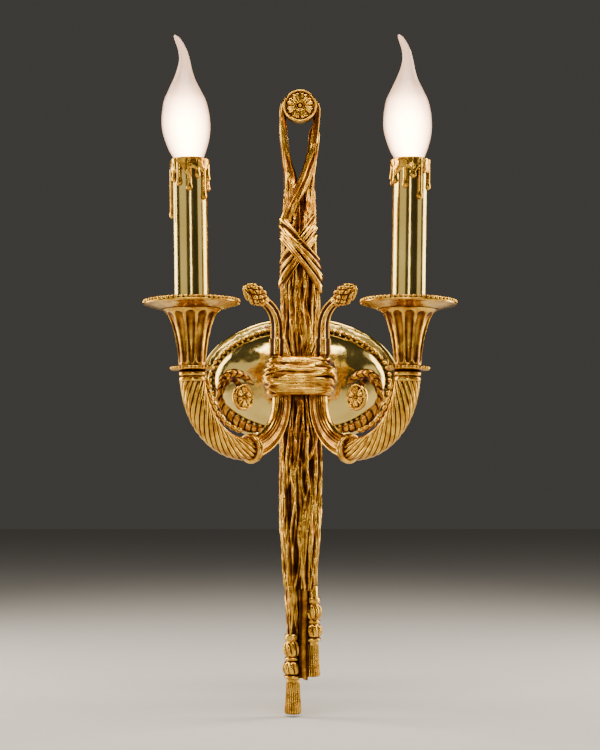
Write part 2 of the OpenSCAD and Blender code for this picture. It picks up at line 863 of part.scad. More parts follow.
// Loop: one ribbon from the stem's top, over the drum and back down.
// Each point holds x, z, half thickness and distance from the wall.
function strand(side) = [
    [side * 6.7 - 0.6, stem_top, 6, stem_y],
    [side * 7.4 - 0.6, stem_top + 7, 5.3, stem_y],
    [side * 9.1 - 0.6, stem_top + 15, 4.5, stem_y],
    [side * 10.6 - 0.6, stem_top + 25, 3.7, stem_y],
    [side * 11.7 - 0.6, stem_top + 35, 3.3, stem_y - 0.4],
    [side * 12.7 - 0.4, boss_z - 18, 3.1, stem_y - 2.6],
    [side * 13.2 - 0.2, boss_z - 9, 2.9, loop_y]
];
function arch() = [
    for (t = [0:22.5:180])
        let(half = lookup(abs(t - 90), [[0, ribbon_t / 2], [90, 2.8]]))
        [
            (drum_d / 2 + half + 2 * seat_gap) * cos(t),
            boss_z + (drum_d / 2 + half + 2 * seat_gap) * sin(t),
            half,
            loop_y
        ]
];

module ribbon_loop() {
    route = concat(
        [for (p = strand(right)) p],
        arch(),
        [for (i = [6:-1:0]) strand(left)[i]]
    );
    last = len(route) - 1;
    section = oval(1, 1, 2.6, 12);
    color("goldenrod")
    loft([
        for (k = [0:last])
            let(
                a = route[max(k - 1, 0)],
                b = route[min(k + 1, last)],
                dir = k == 0 ? 90 : (k == last ? -90 : atan2(b[1] - a[1], b[0] - a[0])),
                p = route[k]
            )
            [
                for (q = section)
                    [
                        p[0] + q[0] * p[2] * sin(dir),
                        -p[3] + q[1] * ribbon_w / 2,
                        p[1] - q[0] * p[2] * cos(dir)
                    ]
            ]
    ]);
}

module hook_boss() {
    r = boss_d / 2;
    t = boss_rim_t;
    color("goldenrod")
    translate([0, -boss_front, boss_z])
    toward_wall()
    turned([
        [0, 1.4], [r - 2.2, 1.4], [r - 1.8, 0.4], [r - 1, 0], [r - 0.3, 0.5], [r, 1.4],
        [r, t], [drum_d / 2, t], [drum_d / 2, boss_len], [0, boss_len]
    ]);
}

// A flower of round petals on a thin disc, with a button in the middle
module flower(r, count, h) {
    cylinder(r = r, h = 0.4 * h);
    for (i = [0:count - 1])
        rotate([0, 0, 360 * i / count])
        translate([0.64 * r, 0, 0])
        cylinder(r = 0.27 * r, h = h);
    cylinder(r = 0.3 * r, h = 1.3 * h);
    translate([0, 0, 1.1 * h])
    sphere(r = 0.13 * r);
}

module boss_rosette() {
    color("darkgoldenrod")
    translate([0, -boss_front + 1.4, boss_z])
    rotate([90, 0, 0])
    flower(boss_d / 2 - 2.6, petals, 1.2);
}

// Arms

function root_point(a) = [bottom_u + root_bend * cos(a), root_cz + root_bend * sin(a)];
function rope_point(a) = [bottom_u + rope_bend * cos(a), rope_cz + rope_bend * sin(a)];

// A channelled section: sharp edges between hollow flutes
function channelled(r, count, depth, ribs) = [
    for (i = [0:count - 1])
        let(t = 360 * i / count, q = r - depth * abs(sin(ribs * t / 2)))
        [q * cos(t), q * sin(t)]
];

module arm_root(side) {
    steps = 11;
    color("goldenrod")
    on_arm(side)
    difference() {
        union() {
            loft(concat(
                [ring_at([root_u, -block_foot], -90, channelled(root_d / 2, 24, 0.9, 6))],
                [
                    for (j = [0:steps])
                        let(
                            f = j / steps,
                            a = 180 + (collar_at - 180) * f,
                            r = root_d / 2 + f * (rope_end_d - root_d) / 2,
                            d = 0.9 * (1 - smooth((f - 0.85) / 0.1))
                        )
                        ring_at(root_point(a), a + 90, channelled(r, 24, d, 6))
                ]
            ));
            translate([root_u, 0, -block_foot - 3])
            cylinder(d = tenon_d, h = tenon_len + 3);
        }
        translate([root_u, 0, root_cz])
        cylinder(d = wire_bore, h = block_foot - root_cz);
        arc_rod([bottom_u, root_cz], root_bend, 180, 272, wire_bore);
    }
}

// A rope section: three points to a strand, turned by the twist so far
function rope_section(r, twist) = [
    for (i = [0:3 * rope_starts - 1])
        let(t = 120 * i / rope_starts - twist, q = i % 3 == 0 ? r - rope_groove : r)
        [q * cos(t), q * sin(t)]
];

function rope_bore(twist) = [
    for (i = [0:rope_starts - 1])
        let(t = 360 * i / rope_starts - twist)
        [wire_bore / 2 * cos(t), wire_bore / 2 * sin(t)]
];

module arm_twist(side) {
    lead_in = root_bend * collar_turn * PI / 180;
    arc_len = rope_bend * (90 - candle_lean) * PI / 180;
    total = lead_in + arc_len;
    steps = 12;
    stations = [
        for (j = [0:steps])
            let(s = total * j / steps, on_root = s < lead_in)
            on_root
                ? [root_point(collar_at + collar_turn * s / lead_in),
                    collar_at + collar_turn * s / lead_in + 90, s]
                : [rope_point(270 + (90 - candle_lean) * (s - lead_in) / arc_len),
                    360 + (90 - candle_lean) * (s - lead_in) / arc_len, s]
    ];
    color("goldenrod")
    on_arm(side)
    difference() {
        hollow_loft(
            [
                for (p = stations)
                    let(r = (rope_end_d + (rope_d - rope_end_d) * smooth(1.3 * p[2] / total)) / 2)
                    ring_at(p[0], p[1], rope_section(r, 360 * p[2] / rope_lead))
            ],
            [
                for (p = stations)
                    ring_at(p[0], p[1], rope_bore(360 * p[2] / rope_lead))
            ]
        );
        at_rope_end()
        translate([0, 0, -tenon_len])
        cylinder(d = bore_d, h = tenon_len + 1);
    }
}

module arm_collar(side) {
    bore = rope_end_d / 2 + seat_gap;
    sleeve = bore + 1.6;
    ring_r = collar_len / 5;
    at = root_point(collar_at);
    color("goldenrod")
    on_arm(side)
    difference() {
        translate([at[0], 0, at[1]])
        rotate([0, 90 - (collar_at - 270), 0])
        union() {
            cylinder(r = sleeve, h = collar_len - 1, center = true);
            for (s = [-1, 1])
                translate([0, 0, s * collar_len / 4])
                rotate_extrude()
                translate([collar_d / 2 - ring_r, 0])
                circle(r = ring_r);
        }
        arc_rod([bottom_u, root_cz], root_bend, 180, 270, 2 * bore);
        arc_rod([bottom_u, rope_cz], rope_bend, 269.9, 280, 2 * bore);
    }
}

// Scroll: the leaf strip, and a row of husks that leaves its outer edge and
// runs on between the strip and the rope
module scroll(side) {
    steps = 23;
    last = len(scroll_route) - 1;
    from = 283;
    to = 350;
    color("goldenrod")
    on_arm(side)
    union() {
        loft([
            for (j = [0:steps])
                let(
                    s = last * j / steps,
                    share = lookup(s, strip_share),
                    notch = 1 - 0.08 * ((j + 1) % 3),
                    section = oval(strip_w / 2 * share * notch, strip_t / 2 * (0.5 + 0.5 * share), 2, 10)
                )
                ring_at(spline(scroll_route, s), heading(scroll_route, s), section)
        ]);
        loft([
            for (j = [0:2 * husks])
                let(
                    a = from + (to - from) * j / (2 * husks),
                    r = j % 2 == 0 ? 0.28 * husk_d : 0.5 * husk_d,
                    at = [bottom_u + husk_r * cos(a), rope_cz + husk_r * sin(a)]
                )
                ring_at(at, a + 90, oval(r, r, 2, 8))
        ]);
    }
}

module scroll_rosette(side) {
    r = disc_d / 2;
    t = disc_t / 2;
    color("darkgoldenrod")
    on_arm(side)
    translate([disc_u, 0, disc_z])
    rotate([90, 0, 0])
    union() {
        turned([
            [0, -t], [r - 1, -t], [r, 1 - t], [r, t - 1], [r - 1, t], [r - 2, t - 0.2],
            [r - 2.6, t - 1.4], [0, t - 1.4]
        ]);
        translate([0, 0, t - 1.4])
        flower(r - 2.8, petals - 2, 1.2);
    }
}

// Bud stalk: rises from the block, bends outward and carries the seed bud. A
// sheath of leaves covers its foot.
function stalk_point(a) = [stalk_u + stalk_bend * (1 + cos(a)), stalk_top + stalk_bend * sin(a)];

module bud_stalk(side) {
    steps = 7;
    foot = stalk_neck_d / 2;
    sheath = stalk_d / 2;
    stem = sheath - 0.9;
    clear = band_h / 2 - block_drop + 1;
    rise = [
        [block_top, foot], [clear, foot], [clear + 0.8, sheath], [sheath_z, sheath - 0.1],
        [sheath_z + 0.3, stem]
    ];
    color("goldenrod")
    on_arm(side)
    union() {
        loft(concat(
            [for (p = rise) ring_at([stalk_u, p[0]], 90, channelled(p[1], 16, 0.8, 4))],
            [
                for (j = [0:steps])
                    let(
                        f = j / steps,
                        a = 180 - stalk_turn * f,
                        r = stem - 0.2 - f * (stem - 0.2 - stalk_end_d / 2)
                    )
                    ring_at(stalk_point(a), a - 90, channelled(r, 16, 0.8, 4))
            ]
        ));
        translate([stalk_u, 0, block_top - tenon_len + seat_gap])
        cylinder(d = stalk_tenon, h = tenon_len + 2);
    }
}

module bud(side) {
    r = bud_d / 2;
    at = stalk_point(180 - stalk_turn);
    color("darkgoldenrod")
    on_arm(side)
    translate([at[0], 0, at[1]])
    rotate([0, stalk_turn, 0])
    turned([
        [0, 0], [0.54 * r, 0], [0.62 * r, 0.03 * bud_len], [0.62 * r, 0.08 * bud_len],
        for (t = [-52:14:76]) [r * cos(t), bud_len * (0.5 + 0.5 * sin(t))],
        [0, bud_len]
    ]);
}

// Candle cups

module cup_flange(side) {
    r = flange_d / 2;
    b = rope_d / 2;
    top = flange_h;
    color("goldenrod")
    on_candle(side)
    difference() {
        turned([
            [0, 0], [b - 0.6, 0],
            for (t = [-60:20:60]) [b - 0.6 + cos(t), top * (0.27 + 0.235 * sin(t))],
            [b - 0.8, 0.52 * top], [r - 2.6, 0.6 * top], [r - 0.6, top - 3], [r, top - 2],
            [r - 0.6, top - 1], [r - 2.4, top - 0.4], [r - 4, top], [0, top]
        ]);
        translate([0, 0, -1])
        cylinder(d = bore_d, h = flange_h + 2);
    }
}

// Radius of the cup from its foot to its mouth: upright, then flaring like a trumpet
function cup_r(v) =
    let(foot = cup_foot_d / 2, mouth = cup_mouth_d / 2)
    foot + (mouth - foot) * (0.75 * pow(v, 2) + 0.25 * pow(v, 16));

module fluted_cup(side) {
    count = 3 * flutes;
    levels = [0, 0.1, 0.3, 0.5, 0.68, 0.82, 0.91, 0.96, 1];
    color("goldenrod")
    on_candle(side)
    translate([0, 0, cup_z])
    difference() {
        loft([
            for (v = levels)
                let(d = flute_depth * smooth(v / 0.12) * smooth((1 - v) / 0.1))
                [
                    for (i = [0:count - 1])
                        let(t = 360 * i / count, q = cup_r(v) - (i % 3 == 0 ? 0 : d))
                        [q * cos(t), q * sin(t), v * cup_h]
                ]
        ]);
        translate([0, 0, -1])
        cylinder(d = bore_d, h = cup_h + 2);
    }
}

module drip_pan(side) {
    r = pan_d / 2;
    b = bore_d / 2;
    m = cup_mouth_d / 2;
    h = pan_h;
    color("goldenrod")
    on_candle(side)
    translate([0, 0, pan_z])
    turned([
        [b, 0], [m, 0], [m + 0.4 * (r - m), 1.6], [r - 2.4, h - 3.8], [r - 0.8, h - 3.4],
        [r, h - 2.2], [r, h - 1.2], [r - 0.8, h - 0.2], [r - 2, h], [r - 3.4, h - 0.8],
        [m + 0.3 * (r - m), 4], [m - 1, 3], [b, 3]
    ]);
}

module candle_tube(side) {
    color("palegoldenrod")
    on_candle(side)
    translate([0, 0, pan_floor])
    difference() {
        cylinder(d = tube_d, h = tube_h);
        translate([0, 0, -1])
        cylinder(d = tube_d - 2 * tube_wall, h = tube_h + 2);
    }
}

module drip_collar(side) {
    r = tube_d / 2 + fit_gap;
    lip = tube_d / 2 - tube_wall;
    outer = collar_skirt_d / 2;
    top = tube_top + 1;
    drip_d = outer - r + 2.2;
    color("darkgoldenrod")
    on_candle(side)
    difference() {
        union() {
            translate([0, 0, top - collar_skirt_h])
            turned([
                [0, 0], [outer - 0.6, 0], [outer, 0.8], [outer, collar_skirt_h - 0.8],
                [outer - 0.8, collar_skirt_h], [0, collar_skirt_h]
            ]);
            for (drip = side < 0 ? drips_left : drips_right)
                rotate([0, 0, side * drip[0] - (90 - arm_angle)])
                translate([r + 0.2, 0, top - drip[1]]) {
                    sphere(d = drip_d + 0.3);
                    cylinder(d = drip_d, h = drip[1] - 2);
                }
        }
        translate([0, 0, top - 60])
        cylinder(r = r, h = 59 + fit_gap);
        translate([0, 0, top - 5])
        cylinder(r = lip, h = 6);
    }
}

// Inside the candle

module cup_nipple(side) {
    color("silver")
    on_candle(side)
    translate([0, 0, 1 - tenon_len])
    difference() {
        cylinder(d = nipple_d, h = pan_floor + 18 + tenon_len);
        translate([0, 0, -1])
        cylinder(d = wire_bore, h = pan_floor + 40);
    }
}

module cup_nut(side) {
    color("darkgoldenrod")
    on_candle(side)
    translate([0, 0, pan_floor])
    hex_nut(4);
}

module lampholder(side) {
    wide = tube_d / 2 - tube_wall - 1.4;
    narrow = wide - 1.4;
    mouth = shell_d / 2 + fit_gap;
    color("dimgray")
    on_candle(side)
    turned([
        [bore_d / 2, holder_z], [narrow, holder_z], [narrow, cap_end - 26], [wide, cap_end - 24],
        [wide, holder_top], [mouth, holder_top], [mouth, cap_end - 2.4], [3, cap_end - 2.4],
        [3, cap_end - 6], [6, cap_end - 6], [6, holder_z + 14], [bore_d / 2, holder_z + 14]
    ]);
}

// Threaded shell for the bulb cap, and the spring contact under it
module lampholder_shell(side) {
    outer = shell_d / 2;
    inner = outer - 0.8;
    foot = cap_end - 2.3;
    color("gold")
    on_candle(side) {
        turned([
            [inner, foot + 2], [inner, holder_top - 1], [outer, holder_top - 1],
            [outer, foot], [4.6, foot], [4.6, foot + 0.8], [inner - 0.6, foot + 0.8]
        ]);
        translate([0, 0, foot - 0.05])
        cylinder(r = 3.2, h = 2.05);
    }
}

// The cable runs from the terminal block through the threaded tube, the block
// and the arm to the lampholder. A point of the row's frame, seen in the arm's plane:
function into_arm(x, y, z) = [
    x * cos(arm_angle) - (y + stem_y) * sin(arm_angle),
    x * sin(arm_angle) + (y + stem_y) * cos(arm_angle),
    z
];
function cable_ring(p, d) =
    let(a = cross([0, 1, 0], d), s1 = a / norm(a), s2 = cross(d, s1) / norm(d))
    [for (t = [0:60:300]) p + cable_d / 2 * (cos(t) * s1 + sin(t) * s2)];

module cable(side) {
    x = 0.65 * cable_d;
    route = concat(
        [
            into_arm(x, -9, terminal_z + 1 - seat_gap),
            into_arm(x, -9, 3),
            into_arm(x, -11, 0),
            into_arm(x, 3 - stem_y, 0),
            into_arm(x + 1, -1 - stem_y, 0),
            [root_u - 3, 0, 0],
            [root_u, 0, -3],
            [root_u, 0, root_cz]
        ],
        [for (a = [195:15:270]) [root_point(a)[0], 0, root_point(a)[1]]],
        [for (a = [285:15:345]) [rope_point(a)[0], 0, rope_point(a)[1]]],
        [
            for (h = [0, cap_end - 2.4 - seat_gap])
                [candle_u + h * sin(candle_lean), 0, candle_z + h * cos(candle_lean)]
        ]
    );
    last = len(route) - 1;
    color("white")
    on_arm(side)
    loft([
        for (k = [0:last])
            cable_ring(route[k], route[min(k + 1, last)] - route[max(k - 1, 0)])
    ]);
}

// Bulbs

function flame_ring(p, thin, count, dir) =
    let(
        r = max(p[1] * bulb_d / 2 - thin, 0.25),
        shift = p[2] * bulb_d / 2,
        z = tube_top + p[0] * bulb_h
    )
    [for (i = [0:count - 1]) [
        -shift * cos(dir) + r * cos(360 * i / count),
        -shift * sin(dir) + r * sin(360 * i / count),
        z
    ]];

module bulb_glass(side) {
    dir = side < 0 ? arm_angle : 180 + arm_angle;
    color("white", 0.6)
    on_candle(side)
    difference() {
        loft([for (p = flame) flame_ring(p, 0, 18, dir)]);
        loft([
            for (i = [0:14])
                flame_ring(flame[i] - [i == 0 ? eps : 0, 0, 0], glass_t, 9, dir)
        ]);
    }
}

module bulb_cap(side) {
    r = cap_d / 2;
    neck = 0.49 * bulb_d / 2 + 0.6;
    h = cap_len;
    color("silver")
    on_candle(side)
    translate([0, 0, cap_end])
    turned([
        [0, 0], [2.4, 0], [3.4, 1.4], [5, 4], [r - 0.6, 5.4], [r, 6.4],
        [r, h - 2], [neck, h - 0.6], [neck, h], [0, h]
    ]);
}

// Glass stem on the cap with four upright filaments between two rings
module bulb_filament(side) {
    r = cap_d / 2;
    foot = 0.235 * bulb_h;
    length = 0.32 * bulb_h;
    color("orange")
    on_candle(side)
    translate([0, 0, cap_top + eps])
    union() {
        turned([
            [0, 0], [0.58 * r, 0], [0.35 * r, 0.4 * foot], [0.2 * r, 0.7 * foot], [0.2 * r, foot],
            [0, foot]
        ]);
        for (z = [0.95 * foot, 0.95 * foot + length])
            translate([0, 0, z])
            cylinder(r = 0.46 * r, h = 0.12 * r);
        for (i = [0:3])
            rotate([0, 0, 90 * i])
            translate([0.35 * r, 0, 0.97 * foot])
            cylinder(r = 0.09 * r, h = length);
    }
}

wall_bracket();
terminal_block();
earth_screw();
plate_screws();
backplate();
hub_nipple();
hub_nut();
hub_spacer();
body_block();
waist_band();
stem_upper();
stem_lower();
cloth_tail();
tassel_long();
tassel_short();
ribbon_loop();
hook_boss();
boss_rosette();
arm_root(left);  // arm_root_left
arm_root(right);  // arm_root_right
arm_twist(left);  // arm_twist_left
arm_twist(right);  // arm_twist_right
arm_collar(left);  // arm_collar_left
arm_collar(right);  // arm_collar_right
scroll(left);  // scroll_left
scroll(right);  // scroll_right
scroll_rosette(left);  // scroll_rosette_left
scroll_rosette(right);  // scroll_rosette_right
bud_stalk(left);  // bud_stalk_left
bud_stalk(right);  // bud_stalk_right
bud(left);  // bud_left
bud(right);  // bud_right
cup_flange(left);  // cup_flange_left
cup_flange(right);  // cup_flange_right
fluted_cup(left);  // fluted_cup_left
fluted_cup(right);  // fluted_cup_right
drip_pan(left);  // drip_pan_left
drip_pan(right);  // drip_pan_right
candle_tube(left);  // candle_tube_left
candle_tube(right);  // candle_tube_right
drip_collar(left);  // drip_collar_left
drip_collar(right);  // drip_collar_right
cup_nipple(left);  // cup_nipple_left
cup_nipple(right);  // cup_nipple_right
cup_nut(left);  // cup_nut_left
cup_nut(right);  // cup_nut_right
lampholder(left);  // lampholder_left
lampholder(right);  // lampholder_right
lampholder_shell(left);  // lampholder_shell_left
lampholder_shell(right);  // lampholder_shell_right
cable(left);  // cable_left
cable(right);  // cable_right
bulb_glass(left);  // bulb_glass_left
bulb_glass(right);  // bulb_glass_right
bulb_cap(left);  // bulb_cap_left
bulb_cap(right);  // bulb_cap_right
bulb_filament(left);  // bulb_filament_left
bulb_filament(right);  // bulb_filament_right
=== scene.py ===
import bpy
import json
import math
import numpy as np
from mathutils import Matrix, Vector


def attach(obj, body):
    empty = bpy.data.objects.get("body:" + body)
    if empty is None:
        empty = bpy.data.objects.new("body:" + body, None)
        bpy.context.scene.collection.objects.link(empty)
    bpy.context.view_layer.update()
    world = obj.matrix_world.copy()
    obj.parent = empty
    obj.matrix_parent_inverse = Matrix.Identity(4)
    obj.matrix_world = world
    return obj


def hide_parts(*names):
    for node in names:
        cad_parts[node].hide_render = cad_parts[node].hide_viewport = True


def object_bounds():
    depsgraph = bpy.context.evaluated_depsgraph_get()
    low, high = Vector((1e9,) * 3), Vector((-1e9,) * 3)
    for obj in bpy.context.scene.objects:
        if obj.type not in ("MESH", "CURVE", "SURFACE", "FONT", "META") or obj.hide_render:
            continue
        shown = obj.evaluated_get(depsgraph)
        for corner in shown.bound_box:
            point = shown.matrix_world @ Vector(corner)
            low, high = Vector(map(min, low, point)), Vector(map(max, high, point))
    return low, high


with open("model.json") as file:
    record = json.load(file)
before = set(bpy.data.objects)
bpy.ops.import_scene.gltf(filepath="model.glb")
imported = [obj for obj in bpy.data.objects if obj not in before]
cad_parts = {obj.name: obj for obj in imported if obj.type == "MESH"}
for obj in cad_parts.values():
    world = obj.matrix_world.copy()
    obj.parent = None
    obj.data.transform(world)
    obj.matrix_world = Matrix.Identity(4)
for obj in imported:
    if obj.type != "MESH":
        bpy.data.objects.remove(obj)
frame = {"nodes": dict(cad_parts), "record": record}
cad_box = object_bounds()
MM = 0.001

# Sizes of the sconce in millimetres, as the solids have them
PLATE_A, PLATE_B, PLATE_DEPTH = 81.0, 52.0, 27.0
DOME_A, DOME_B, PLATE_WALL = 70.0, 41.0, 2.0
PLATE_SEAT = 26.0
STEM_Y, BLOCK_Y, BLOCK_TOP, BLOCK_FOOT = 58.0, 63.0, 10.5, 15.5
BLOCK_A, BLOCK_B, BAND_H, BAND_Z = 22.5, 21.5, 30.0, -2.5
STEM_TOP, SPLIT_Z, TAIL_Z, WRAP_Z = 150.0, 165.0, 198.0, 97.0
BOSS_Z, BOSS_R, DRUM_R, BOSS_FRONT = 209.5, 13.0, 10.3, 69.7
LOOP_Y = 53.5
ARM_ANGLE = math.radians(46)
ROOT_U, BOTTOM_U, ROOT_BEND, ROPE_BEND = 21.25, 59.0, 37.75, 52.0
ROOT_CZ, ROPE_CZ, COLLAR_AT = -20.75, -6.5, 260.0
DISC_U, DISC_Z, DISC_R = 60.82, -20.0, 10.4
STALK_U, STALK_TOP, STALK_BEND, STALK_TURN = 25.25, 34.0, 21.0, 66.0
LEAN = math.radians(1.5)
CANDLE_U = BOTTOM_U + ROPE_BEND * math.cos(LEAN)
CANDLE_Z = ROPE_CZ - ROPE_BEND * math.sin(LEAN)
CUP_Z, CUP_H, PAN_Z, PAN_FLOOR = 8.25, 40.0, 48.25, 51.25
TUBE_TOP, TUBE_R, BULB_R, BULB_H = 155.75, 12.75, 17.5, 94.0
CAP_LEN, CAP_DROP, SPACER_R, FLUTES = 24.0, 10.0, 11.0, 12
SIDES = {"left": -1, "right": 1}

# Camera: focal length, frame height and upward look in pixels, and its place in metres
FOCAL, FRAME_H, LOOK_UP = 1450, 750, 120
CAMERA_AT = (0.0, -1.1755, -0.0924)


def placed(name, data):
    """A new object in the scene."""
    made = bpy.data.objects.new(name, data)
    bpy.context.scene.collection.objects.link(made)
    return made


# Colour and node helpers
def linear(code):
    """sRGB hex code to a linear colour."""
    values = [int(code[i:i + 2], 16) / 255 for i in (1, 3, 5)]
    return [v / 12.92 if v <= 0.04045 else ((v + 0.055) / 1.055) ** 2.4 for v in values] + [1.0]


def add(tree, kind, links=None, **settings):
    """Adds a node with its settings. An input gets a value, or a link from a socket or
    from the first output of a node."""
    made = tree.nodes.new(kind)
    for key, value in settings.items():
        setattr(made, key, value)
    for key, value in (links or {}).items():
        if isinstance(value, bpy.types.Node):
            value = value.outputs[0]
        if isinstance(value, bpy.types.NodeSocket):
            tree.links.new(value, made.inputs[key])
        else:
            made.inputs[key].default_value = value
    return made


def make_material(name, recipe, *values):
    """A material whose shader gets what the recipe's nodes say."""
    mat = bpy.data.materials.new(name)
    mat.use_nodes = True
    tree = mat.node_tree
    tree.nodes.clear()
    shader = add(tree, "ShaderNodeBsdfPrincipled", recipe(tree, *values))
    add(tree, "ShaderNodeOutputMaterial", {"Surface": shader})
    return mat


def mottle(tree, where, scale, detail, low, high):
    """Noise, and the mix of two colours that follows it."""
    noise = add(tree, "ShaderNodeTexNoise", {"Vector": where, "Scale": scale, "Detail": detail})
    mix = add(tree, "ShaderNodeMix", {
        "Factor": noise, "A": linear(low), "B": linear(high)}, data_type="RGBA")
    return noise, mix.outputs["Result"]


def antique_gilt_brass(tree):
    # Cast and chased brass, fire gilt, toned red-brown and rubbed back: bright on the crests, dark
    # in the hollows, with the fine grain of the casting sand. The dark of the hollows is partly
    # real patina (the groove attribute) and partly painted shade, where the occlusion node darkens
    # recesses and the gaps between parts
    where = add(tree, "ShaderNodeTexCoord").outputs["Object"]
    # Painted shade: the colour darkens where the occlusion node finds nearby surfaces, in recesses
    # and between parts
    hollow = add(tree, "ShaderNodeAmbientOcclusion", {"Distance": 0.004}, samples=8)
    groove = add(tree, "ShaderNodeAttribute", attribute_name="groove").outputs["Fac"]
    cloud = add(tree, "ShaderNodeTexNoise", {"Vector": where, "Scale": 160.0, "Detail": 4.0})
    shaded = add(tree, "ShaderNodeMapRange", {
        "Value": hollow.outputs["AO"], "From Min": 0.85, "From Max": 0.25})
    # Painted shade from the occlusion, joined with the patina that the groove attribute gives the
    # hollows
    painted_shade_and_patina = add(tree, "ShaderNodeMath", {0: shaded, 1: groove}, operation="MAXIMUM")
    stain = add(tree, "ShaderNodeMapRange", {
        "Value": cloud, "From Min": 0.35, "From Max": 0.7,
        "To Min": -0.08, "To Max": 0.3})
    patina_and_painted_shade = add(tree, "ShaderNodeMath", {0: painted_shade_and_patina, 1: stain}, operation="ADD", use_clamp=True)
    ramp = add(tree, "ShaderNodeValToRGB", {"Fac": patina_and_painted_shade})
    steps = ramp.color_ramp.elements
    steps[0].color, steps[1].color = linear("#E9BA48"), linear("#281105")
    for at, code in ((0.14, "#CF9931"), (0.38, "#935F1C"), (0.68, "#522D0E")):
        steps.new(at).color = linear(code)
    gloss = add(tree, "ShaderNodeMapRange", {"Value": patina_and_painted_shade, "To Min": 0.17, "To Max": 0.5})
    sand = add(tree, "ShaderNodeTexNoise", {"Vector": where, "Scale": 900.0, "Detail": 3.0})
    bump = add(tree, "ShaderNodeBump", {"Height": sand, "Strength": 0.3, "Distance": 0.0003})
    return {"Base Color": ramp, "Roughness": gloss, "Metallic": 1.0, "Normal": bump}


def polished_brass(tree):
    # Spun and drawn brass, buffed and lacquered: a paler, greener mirror. The pressed
    # dome is a little wavy; the drawn tubes are straight
    where = add(tree, "ShaderNodeTexCoord").outputs["Object"]
    cloud, tone = mottle(tree, where, 45.0, 5.0, "#C0A044", "#E6D07C")
    gloss = add(tree, "ShaderNodeMapRange", {"Value": cloud, "To Min": 0.1, "To Max": 0.2})
    dents = add(tree, "ShaderNodeAttribute", attribute_name="dents").outputs["Fac"]
    wave = add(tree, "ShaderNodeTexNoise", {"Vector": where, "Scale": 50.0, "Detail": 2.0})
    bump = add(tree, "ShaderNodeBump", {"Height": wave, "Strength": dents, "Distance": 0.0035})
    return {"Base Color": tone, "Roughness": gloss,
            "Metallic": 1.0, "Coat Weight": 0.3, "Coat Roughness": 0.06, "Normal": bump}


def turned_brass(tree):
    # Lathe-turned brass left plain inside the fitting: a yellow metal with a fine grain
    where = add(tree, "ShaderNodeTexCoord").outputs["Object"]
    grain, tone = mottle(tree, where, 700.0, 2.0, "#A07C3C", "#C49E55")
    bump = add(tree, "ShaderNodeBump", {"Height": grain, "Strength": 0.2, "Distance": 0.0002})
    return {"Base Color": tone, "Roughness": 0.32, "Metallic": 1.0, "Normal": bump}


def zinc_plated_steel(tree):
    # Pressed and threaded steel with a bright zinc coat: cool grey, faintly mottled
    where = add(tree, "ShaderNodeTexCoord").outputs["Object"]
    spangle = add(tree, "ShaderNodeTexVoronoi", {"Vector": where, "Scale": 260.0})
    tone = add(tree, "ShaderNodeMix", {
        "Factor": spangle, "A": linear("#B4B6B6"), "B": linear("#8E9192")},
        data_type="RGBA")
    return {"Base Color": tone.outputs["Result"], "Roughness": 0.38, "Metallic": 1.0}


def moulded_plastic(tree, low, high, roughness):
    # Injection-moulded plastic: one colour with a fine matt grain from the tool
    where = add(tree, "ShaderNodeTexCoord").outputs["Object"]
    grain, tone = mottle(tree, where, 1400.0, 2.0, low, high)
    bump = add(tree, "ShaderNodeBump", {"Height": grain, "Strength": 0.15, "Distance": 0.0001})
    return {"Base Color": tone, "Roughness": roughness, "Normal": bump}


def frosted_bulb_glass(tree):
    # Frosted glass with the lit filament behind it: the belly glows warm white,
    # the drawn tip gets little light and stays a pale pinkish cream
    glow = add(tree, "ShaderNodeAttribute", attribute_name="glow").outputs["Fac"]
    facing = add(tree, "ShaderNodeLayerWeight", {"Blend": 0.35})
    face = add(tree, "ShaderNodeMath", {0: 1.0, 1: facing.outputs["Facing"]}, operation="SUBTRACT")
    core = add(tree, "ShaderNodeMath", {0: face, 1: 3.5}, operation="POWER")
    power = add(tree, "ShaderNodeMath", {0: glow, 1: core}, operation="MULTIPLY")
    strength = add(tree, "ShaderNodeMapRange", {"Value": power, "To Min": 0.5, "To Max": 24.0})
    shade = add(tree, "ShaderNodeMix", {
        "Factor": power, "A": linear("#F8BE9A"), "B": linear("#FFE2A4")},
        data_type="RGBA")
    return {"Base Color": linear("#D2B29C"), "Roughness": 0.3, "IOR": 1.5,
            "Subsurface Weight": 0.3, "Subsurface Scale": 0.004,
            "Emission Color": shade.outputs["Result"], "Emission Strength": strength}


def lit_filament(tree):
    # Filaments on a glass stem: a strong warm glow
    where = add(tree, "ShaderNodeTexCoord").outputs["Object"]
    _, shade = mottle(tree, where, 800.0, 2.0, "#FFC070", "#FFE6B0")
    return {"Base Color": linear("#FFE0B0"), "Roughness": 0.3,
            "Emission Color": shade, "Emission Strength": 12.0}


def nickel_plate(tree):
    # Bright nickel on the bulb's screw cap: warm silver, lightly scuffed
    where = add(tree, "ShaderNodeTexCoord").outputs["Object"]
    scuff = add(tree, "ShaderNodeTexNoise", {"Vector": where, "Scale": 500.0, "Detail": 4.0})
    gloss = add(tree, "ShaderNodeMapRange", {"Value": scuff, "To Min": 0.14, "To Max": 0.34})
    return {"Base Color": linear("#CFCBC2"), "Roughness": gloss, "Metallic": 1.0}


def studio_paper(tree):
    # Matt paper floor: nearly white, with a faint tooth
    where = add(tree, "ShaderNodeTexCoord").outputs["Object"]
    _, tone = mottle(tree, where, 60.0, 6.0, "#D8D5CF", "#DEDBD6")
    return {"Base Color": tone, "Roughness": 0.9}


